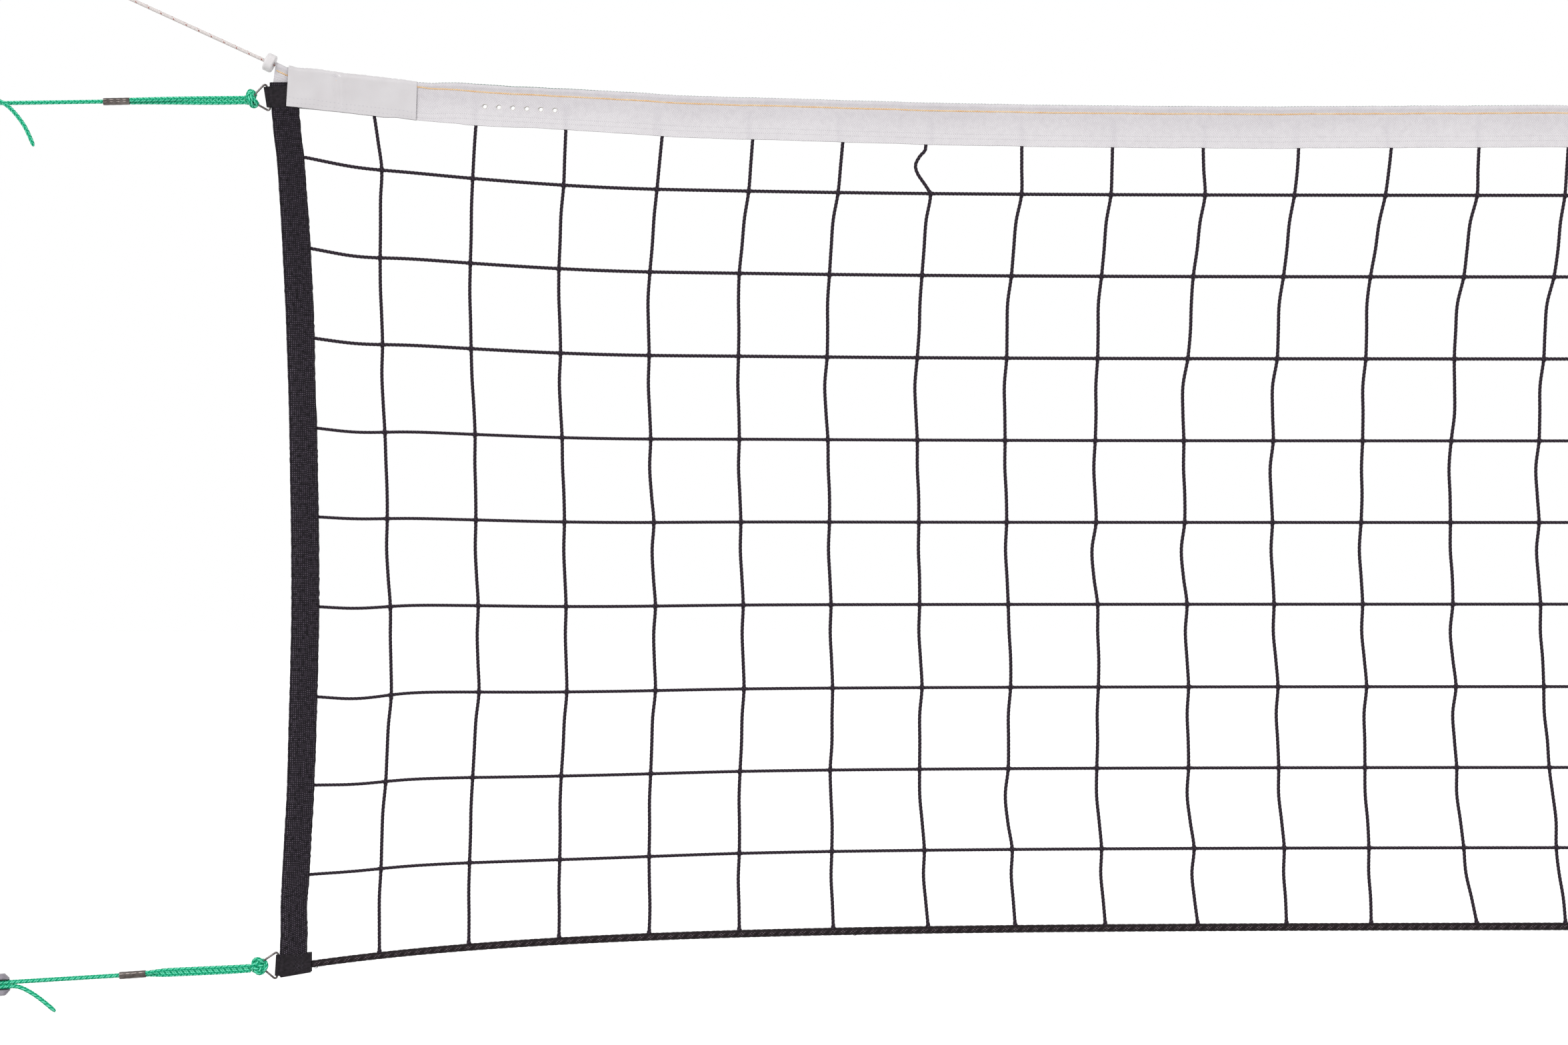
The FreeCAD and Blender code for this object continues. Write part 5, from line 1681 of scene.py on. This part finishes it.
@dataclass
class CornerLoop:
    """Webbing round the ring's bar and back over both faces of the side band."""

    side: Side
    corner: Corner
    width: float = 23.5
    length: float = 39.0
    webbing: float = 1.4
    outer_radius: float = 2.95
    half: float = 5.6

    def face(self, x: np.ndarray) -> np.ndarray:
        """Half the loop's thickness at a distance from the bar: it opens from the bar to the band."""
        return self.outer_radius + (self.half - self.outer_radius) * smooth(x, -0.5, 5.2)

    def make(self) -> None:
        """Build the loop from its outer surface; the lower one leans with the bottom rope and is stitched."""
        bar = HANG.ring_centre(self.corner)
        low = self.corner.level == "bottom"
        end = self.length - self.outer_radius + (1.2 if low else 0.0)
        leg = np.concatenate([np.linspace(end, 7.0, 12), np.linspace(6.0, 0.0, 8)])
        turn = np.linspace(math.pi, 0.0, 11)[1:-1]
        x = np.concatenate([leg, -self.outer_radius * np.sin(turn), leg[::-1]])
        y = np.concatenate([-self.face(leg), self.outer_radius * np.cos(turn), self.face(leg)[::-1]])
        line = lengths_along(np.stack([x, y, 0 * x], 1))
        z = np.linspace(-self.width / 2, self.width / 2, 15)[:, None]
        pinch = 1 + 0.035 * smooth(12.0 - x, 0.0, 12.0)[None]
        lean = -math.tan(math.radians(self.corner.tilt)) * z * smooth(14.0 - x, 0.0, 12.0)[None]
        height = bar[2] + z / pinch
        if low:
            lower = -12.6 - smooth(x, 3.2, 4.3) * (1.7 - 0.177 * (x - 4.1))
            lean = 0.06 * z * smooth(14.0 - x, 0.0, 12.0)
            height = bar[2] + lower + (10.7 + 0.067 * x - lower) * (z / self.width + 0.5)
        else:
            lean = lean - 1.1 * smooth(14.0 - x, 0.0, 12.0)[None]
        points = np.stack(np.broadcast_arrays(bar[0] + x[None] + lean, y[None], height), -1)
        cloth = np.stack(np.broadcast_arrays(line[None], z), -1)
        place = self.side.at(self.corner)
        folded = self.side.patches([thickened(points, cloth, self.webbing)])
        piece = build(f"{place}_webbing_loop", folded, LOOP_WEBBING, "net")
        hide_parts(f"{place}_corner_loop")
        if low:
            sewn = self.side.patches(self.stitches(bar))
            thread = build(f"{place}_loop_stitches", sewn, BLACK_THREAD, "net")

    def stitches(self, bar: np.ndarray) -> list[Patch]:
        """Zigzag seams on both faces: x = middle + 1.5 (2 / pi) arcsin(sin(turns down))."""
        made = []
        down = np.linspace(-self.width / 2 + 1.8, self.width / 2 - 2.4, 90)
        for middle in (19.6, 23.2, 27.4):
            for face in (-1, 1):
                x = middle + 1.5 * (2 / math.pi) * np.arcsin(np.sin(TURN * down / 4.4))
                lift = 0.16 * np.cos(TURN * down / 1.1)
                path = np.stack([bar[0] + x, face * (self.half + 0.06 + lift), bar[2] + down + 0.1 * x], 1)
                made.append(tube(path, 0.3, 5))
        return made


@dataclass
class TriangleRing:
    """The steel ring: an upright bar, two sides and a tip, bent from wire."""

    side: Side
    corner: Corner
    wire: float = 2.3
    bar_half: float = 12.05
    bend: float = 2.2

    def path(self) -> np.ndarray:
        """The wire's centre line: three arcs of the bend's radius, with straight runs between."""
        depth = HANG.ring_depth + self.corner.longer
        lean = math.atan2(self.bar_half, depth - self.bend)
        middles = [(-self.bend, self.bar_half), (self.bend - depth, 0.0), (-self.bend, -self.bar_half)]
        starts = [0.0, math.pi / 2 + lean, 1.5 * math.pi - lean]
        stops = [math.pi / 2 + lean, 1.5 * math.pi - lean, TURN]
        arcs = []
        for middle, start, stop in zip(middles, starts, stops):
            angle = np.linspace(start, stop, 13)
            x, z = middle[0] + self.bend * np.cos(angle), middle[1] + self.bend * np.sin(angle)
            arcs.append(HANG.ring_point(self.corner, x, z))
        whole = np.concatenate(arcs + [arcs[0][:1]])
        return evenly(whole, 0.55)[:-1]

    def make(self) -> None:
        """Build the ring."""
        place = self.side.at(self.corner)
        ring = tube(self.path(), self.wire / 2, 18, closed=True)
        piece = build(f"{place}_wire_ring", self.side.patches([ring]), RING_STEEL, f"{place}_line")
        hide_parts(f"{place}_ring")


@dataclass
class Eye:
    """The doubled cord between the ring and the crimp sleeve, and its hitch on the ring's tip."""

    side: Side
    corner: Corner
    diameter: float = 5.0
    lay: Lay = field(default_factory=Lay)

    def hitch_path(self) -> np.ndarray:
        """The hitch's line about the ring's tip: a cow hitch from listed points, or a woven ball.

        The ball goes three times round: reach = 5 + 2.9 cos(4 turn / 3) + 0.7 cos(turn / 3 + 1),
        depth = 2.4 sin(8 turn / 3).
        """
        tip = HANG.outward(self.corner, 0.0)
        if self.corner.level == "top":
            knots = [(-7.5, 0.8, -0.6), (-3.5, 1.2, 0.8), (-0.2, 2.6, 3.6), (0.4, 1.6, 6.3)]
            knots += [(-2.0, -1.6, 6.1), (-3.5, -3.0, 2.6), (-3.2, -3.8, -1.6), (-0.6, -3.7, -6.4)]
            knots += [(0.6, -0.8, -9.4), (3.6, 1.4, -9.7), (5.9, 0.4, -7.4), (4.6, -3.0, -5.0)]
            knots += [(1.6, -4.3, -1.6), (0.5, -3.7, 2.4), (1.9, -1.0, 5.0), (3.2, 2.2, 3.2)]
            knots += [(2.0, 3.2, -0.6), (0.6, 2.7, -5.3), (-3.4, 1.6, -5.8), (-7.5, 0.8, -5.8)]
            return curved(np.array(knots) + tip, 0.5)
        turn = np.linspace(0.0, 3 * TURN, 90, endpoint=False)
        reach = 5.0 + 2.9 * np.cos(4 * turn / 3) + 0.7 * np.cos(turn / 3 + 1.0)
        round_way = turn + 0.4
        path = np.stack([reach * np.cos(round_way), 2.4 * np.sin(8 * turn / 3), reach * np.sin(round_way)], 1)
        return curved(path + tip + [-2.1, 0.0, -2.6], 0.5, closed=True)

    def strand_path(self, up: int) -> np.ndarray:
        """One strand: side by side at the hitch, drawn together and half behind each other at the crimp."""
        start, end = self.corner.hitch_beyond - 3.0, self.corner.eye_length
        share = np.linspace(0.0, 1.0, 60)
        distance = start + (end - start) * share
        close, hung = smooth(share, self.corner.together, 1.0), smooth(share, 0.0, 1.0)
        above = up * (2.35 - 1.15 * close) - self.corner.droop * (1 - hung) - self.corner.sink * hung
        aside = -up * 2.1 * close
        path = np.array([HANG.outward(self.corner, d, a, h) for d, a, h in zip(distance, aside, above)])
        return evenly(path, 0.55)

    def make(self) -> None:
        place = self.side.at(self.corner)
        closed = self.corner.level == "bottom"
        knot = tube(self.side.points(self.hitch_path()), self.diameter / 2 + 0.15, 28, self.lay, closed)
        hitch = build(f"{place}_cord_hitch", [knot], GREEN_CORD, f"{place}_line")
        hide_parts(f"{place}_hitch")
        for word, up in (("upper", 1), ("lower", -1)):
            path = self.side.points(self.strand_path(up))[::-1]
            radius = self.diameter / 2 + 0.35 * np.sin(math.pi * np.linspace(0.0, 1.0, len(path))) ** 0.5
            strand = tube(path, radius, 28, self.lay)
            piece = build(f"{place}_eye_{word}_strand", [strand], GREEN_CORD, f"{place}_line")
            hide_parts(f"{place}_eye_strands")


@dataclass
class PressedTube:
    """An oval steel sleeve pressed over two strands.

    Attributes:
        name: Name of its piece.
        node: The CAD node that it stands for.
        body: The body that it rides on.
        start: Middle of its inner end.
        way: Direction of its length.
        length: Its length.
        tall: Half its outer height.
        deep: Half its outer depth.
        wall: Thickness of its wall.
        pinch: How far its middle is pressed in.
    """

    name: str
    node: str
    body: str
    side: Side
    start: np.ndarray
    way: np.ndarray
    length: float
    tall: float
    deep: float
    wall: float = 1.1
    pinch: float = 0.7

    def ring(self, inside: float, angle: np.ndarray) -> tuple[np.ndarray, np.ndarray]:
        """Depth and height round the sleeve: an oval, drawn in at its middle by pinch e^(-(z / 1.1)^2)."""
        y, z = (self.deep - inside) * np.cos(angle), (self.tall - inside) * np.sin(angle)
        y = y - np.sign(y) * self.pinch * bell(z, 1.1)
        return y, z

    def make(self) -> None:
        """Build the sleeve: its outer wall with rounded lips and press marks, then its inner wall back."""
        angle = np.linspace(0.0, TURN, 40, endpoint=False)
        outer = np.linspace(0.6, self.length - 0.6, 40)
        stations = [(0.35, self.wall * 0.75), (0.0, self.wall * 0.45), (0.12, 0.15)]
        stations += [(x, 0.06 * (1 + np.cos(TURN * x / 7.3))) for x in outer]
        stations += [(self.length - 0.12, 0.15), (self.length, self.wall * 0.45)]
        stations += [(self.length - 0.35, self.wall * 0.75)]
        stations += [(self.length - 1.5, self.wall), (1.5, self.wall)]
        up = unit(np.cross(self.way, [0.0, 1.0, 0.0]))
        up = up * np.sign(up[2])
        rings = []
        for x, inside in stations:
            y, z = self.ring(inside, angle)
            rings.append(self.start + self.way * x + y[:, None] * [0.0, 1.0, 0.0] + z[:, None] * up)
        sleeve = Patch(np.array(rings), round_rows=True)
        piece = build(self.name, self.side.patches([sleeve]), CRIMP_STEEL, self.body)
        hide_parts(self.node)


@dataclass
class Stopper:
    """The white moulded stopper on the head rope: a short barrel with rounded rims and a bore."""

    side: Side
    radius: float = 10.1
    length: float = 10.4
    bore: float = 2.6
    round: float = 1.8
    stand_off: float = 1.3

    def make(self) -> None:
        """Build the stopper by turning its profile about the rope's line."""
        quarter = np.linspace(0.0, math.pi / 2, 9)
        rim_x, rim_r = self.round * (1 - np.cos(quarter)), self.radius - self.round * (1 - np.sin(quarter))
        x = np.concatenate([[0.8, 0.15, 0.0, 0.0], rim_x, np.linspace(self.round + 0.8, self.length / 2, 3)])
        mouth = [self.bore, self.bore + 0.1, self.bore + 0.8, self.radius - self.round - 0.6]
        barrel = [self.radius + 0.04, self.radius + 0.06, self.radius + 0.06]
        r = np.concatenate([mouth, rim_r, barrel])
        x, r = np.concatenate([x, self.length - x[::-1]]), np.concatenate([r, r[::-1]])
        angle = np.linspace(0.0, TURN, 56, endpoint=False)
        start = HANG.along_rope(self.stand_off)
        way = unit(HANG.along_rope(1.0) - HANG.along_rope(0.0))
        up = unit(HANG.along_rope(0.0, 1.0) - HANG.along_rope(0.0))
        rings = start + x[:, None, None] * way + (r[:, None] * np.cos(angle))[..., None] * up
        rings = rings + (r[:, None] * np.sin(angle))[..., None] * [0.0, 1.0, 0.0]
        place = f"{self.side.value}_stopper"
        turned = self.side.patches([Patch(rings, round_rows=True)])
        piece = build(f"{place}_moulding", turned, STOPPER_PLASTIC, place)
        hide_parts(f"{self.side.value}_rope_stopper")


def dress_cleat(side: Side, corner: Corner) -> None:
    """Give a cleat's CAD solid its moulded finish and softly rounded edges."""
    node = bpy.data.objects[f"{side.at(corner)}_cleat"]
    CLEAT_PLASTIC.dress(node)
    weld = node.modifiers.new("weld", "WELD")
    weld.merge_threshold = 0.02 * MM
    rounded = node.modifiers.new("round", "BEVEL")
    rounded.width, rounded.segments, rounded.limit_method = 0.5 * MM, 3, "ANGLE"
    rounded.angle_limit = math.radians(25.0)
    rounded.harden_normals = False


# Stage


@dataclass(frozen=True)
class Studio:
    """The photograph's view, a pale floor, soft light and a white surround."""

    centre: tuple[float, float] = (-4177.6, -2.7)
    field_width: float = 1748.2
    lens: float = 85.0
    sensor: float = 36.0
    floor_height: float = -1919.0

    def camera(self) -> None:
        """A square-on camera whose picture is the field's width at the net's plane."""
        data = bpy.data.cameras.new("camera")
        data.lens, data.sensor_width = self.lens, self.sensor
        data.clip_start, data.clip_end = 0.05, 200.0
        holder = bpy.data.objects.new("camera", data)
        bpy.context.scene.collection.objects.link(holder)
        distance = self.field_width * self.lens / self.sensor
        holder.location = (self.centre[0] * MM, -distance * MM, self.centre[1] * MM)
        holder.rotation_euler = (math.pi / 2, 0.0, 0.0)
        bpy.context.scene.camera = holder

    def seen_white(self, tree: bpy.types.NodeTree) -> bpy.types.NodeSocket:
        """1 for camera, glossy and transmission rays, else 0."""
        path = add(tree, "ShaderNodeLightPath")
        rays = [path.outputs[name] for name in ("Is Camera Ray", "Is Glossy Ray", "Is Transmission Ray")]
        first = add(tree, MATHS, {"operation": "MAXIMUM"}, _0=rays[0], _1=rays[1])
        both = add(tree, MATHS, {"operation": "MAXIMUM"}, _0=first, _1=rays[2])
        return both.outputs[0]

    def surround(self) -> None:
        """A white world that lights evenly, and looks plain white."""
        world = bpy.data.worlds.new("surround")
        bpy.context.scene.world = world
        world.use_nodes = True
        tree = world.node_tree
        tree.nodes.clear()
        strength = add(tree, RANGE, Value=self.seen_white(tree), To_Min=0.5, To_Max=1.0)
        light = add(tree, "ShaderNodeBackground", Color=linear("#ffffff"), Strength=strength)
        add(tree, "ShaderNodeOutputWorld", Surface=light)

    def floor(self) -> None:
        """A plain pale floor where the ground lies under a hung net, which keeps the net's shadow."""
        points = np.array([[[-60.0, -60.0, 0], [60.0, -60.0, 0]], [[-60.0, 60.0, 0], [60.0, 60.0, 0]]]) / MM
        mesh = bpy.data.meshes.new("floor")
        corners = (points.reshape(-1, 3) + [0, 0, self.floor_height]) * MM
        mesh.from_pydata(corners.tolist(), [], [(0, 1, 3, 2)])
        ground = bpy.data.objects.new("floor", mesh)
        bpy.context.scene.collection.objects.link(ground)
        made = bpy.data.materials.new("pale floor")
        made.use_nodes = True
        tree = made.node_tree
        tree.nodes.clear()
        matt = add(tree, "ShaderNodeBsdfDiffuse", Color=linear("#f4f4f4"))
        glow = add(tree, RANGE, Value=self.seen_white(tree), To_Min=0.0, To_Max=0.3)
        lit = add(tree, "ShaderNodeEmission", Color=linear("#ffffff"), Strength=glow)
        both = add(tree, "ShaderNodeAddShader", _0=matt, _1=lit)
        add(tree, "ShaderNodeOutputMaterial", Surface=both)
        mesh.materials.append(made)

    def lamps(self) -> None:
        """Two wide, soft lamps in front of the net, from above at either side."""
        for name, turn, power in (("key", (52.0, 0.0, -32.0), 1.5), ("fill", (62.0, 0.0, 40.0), 0.65)):
            data = bpy.data.lights.new(name, "SUN")
            data.energy, data.angle = power, math.radians(28.0)
            holder = bpy.data.objects.new(name, data)
            holder.rotation_euler = [math.radians(t) for t in turn]
            bpy.context.scene.collection.objects.link(holder)

    def make(self) -> None:
        """Set up the whole stage, with colours shown as they are."""
        bpy.context.scene.view_settings.view_transform = "Standard"
        self.camera()
        self.surround()
        self.floor()
        self.lamps()


def main() -> None:
    """Load the frame and build every piece in order."""
    logging.basicConfig(level=logging.INFO, format="%(name)s: %(message)s")
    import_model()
    Studio().make()
    Twines().make()
    BottomRope().make()
    TopTape().make()
    for side in Side:
        rope = HeadRopeEnd(side)
        rope.make()
        Stopper(side).make()
        EndSleeve(side).make()
        SideBand(side).make()
        rope.ferrule().make()
        for corner in (TOP, BOTTOM):
            cord = TensionCord(side, corner)
            CornerLoop(side, corner).make()
            TriangleRing(side, corner).make()
            Eye(side, corner).make()
            cord.crimp().make()
            cord.make()
            dress_cleat(side, corner)


if __name__ == "__main__":
    main()
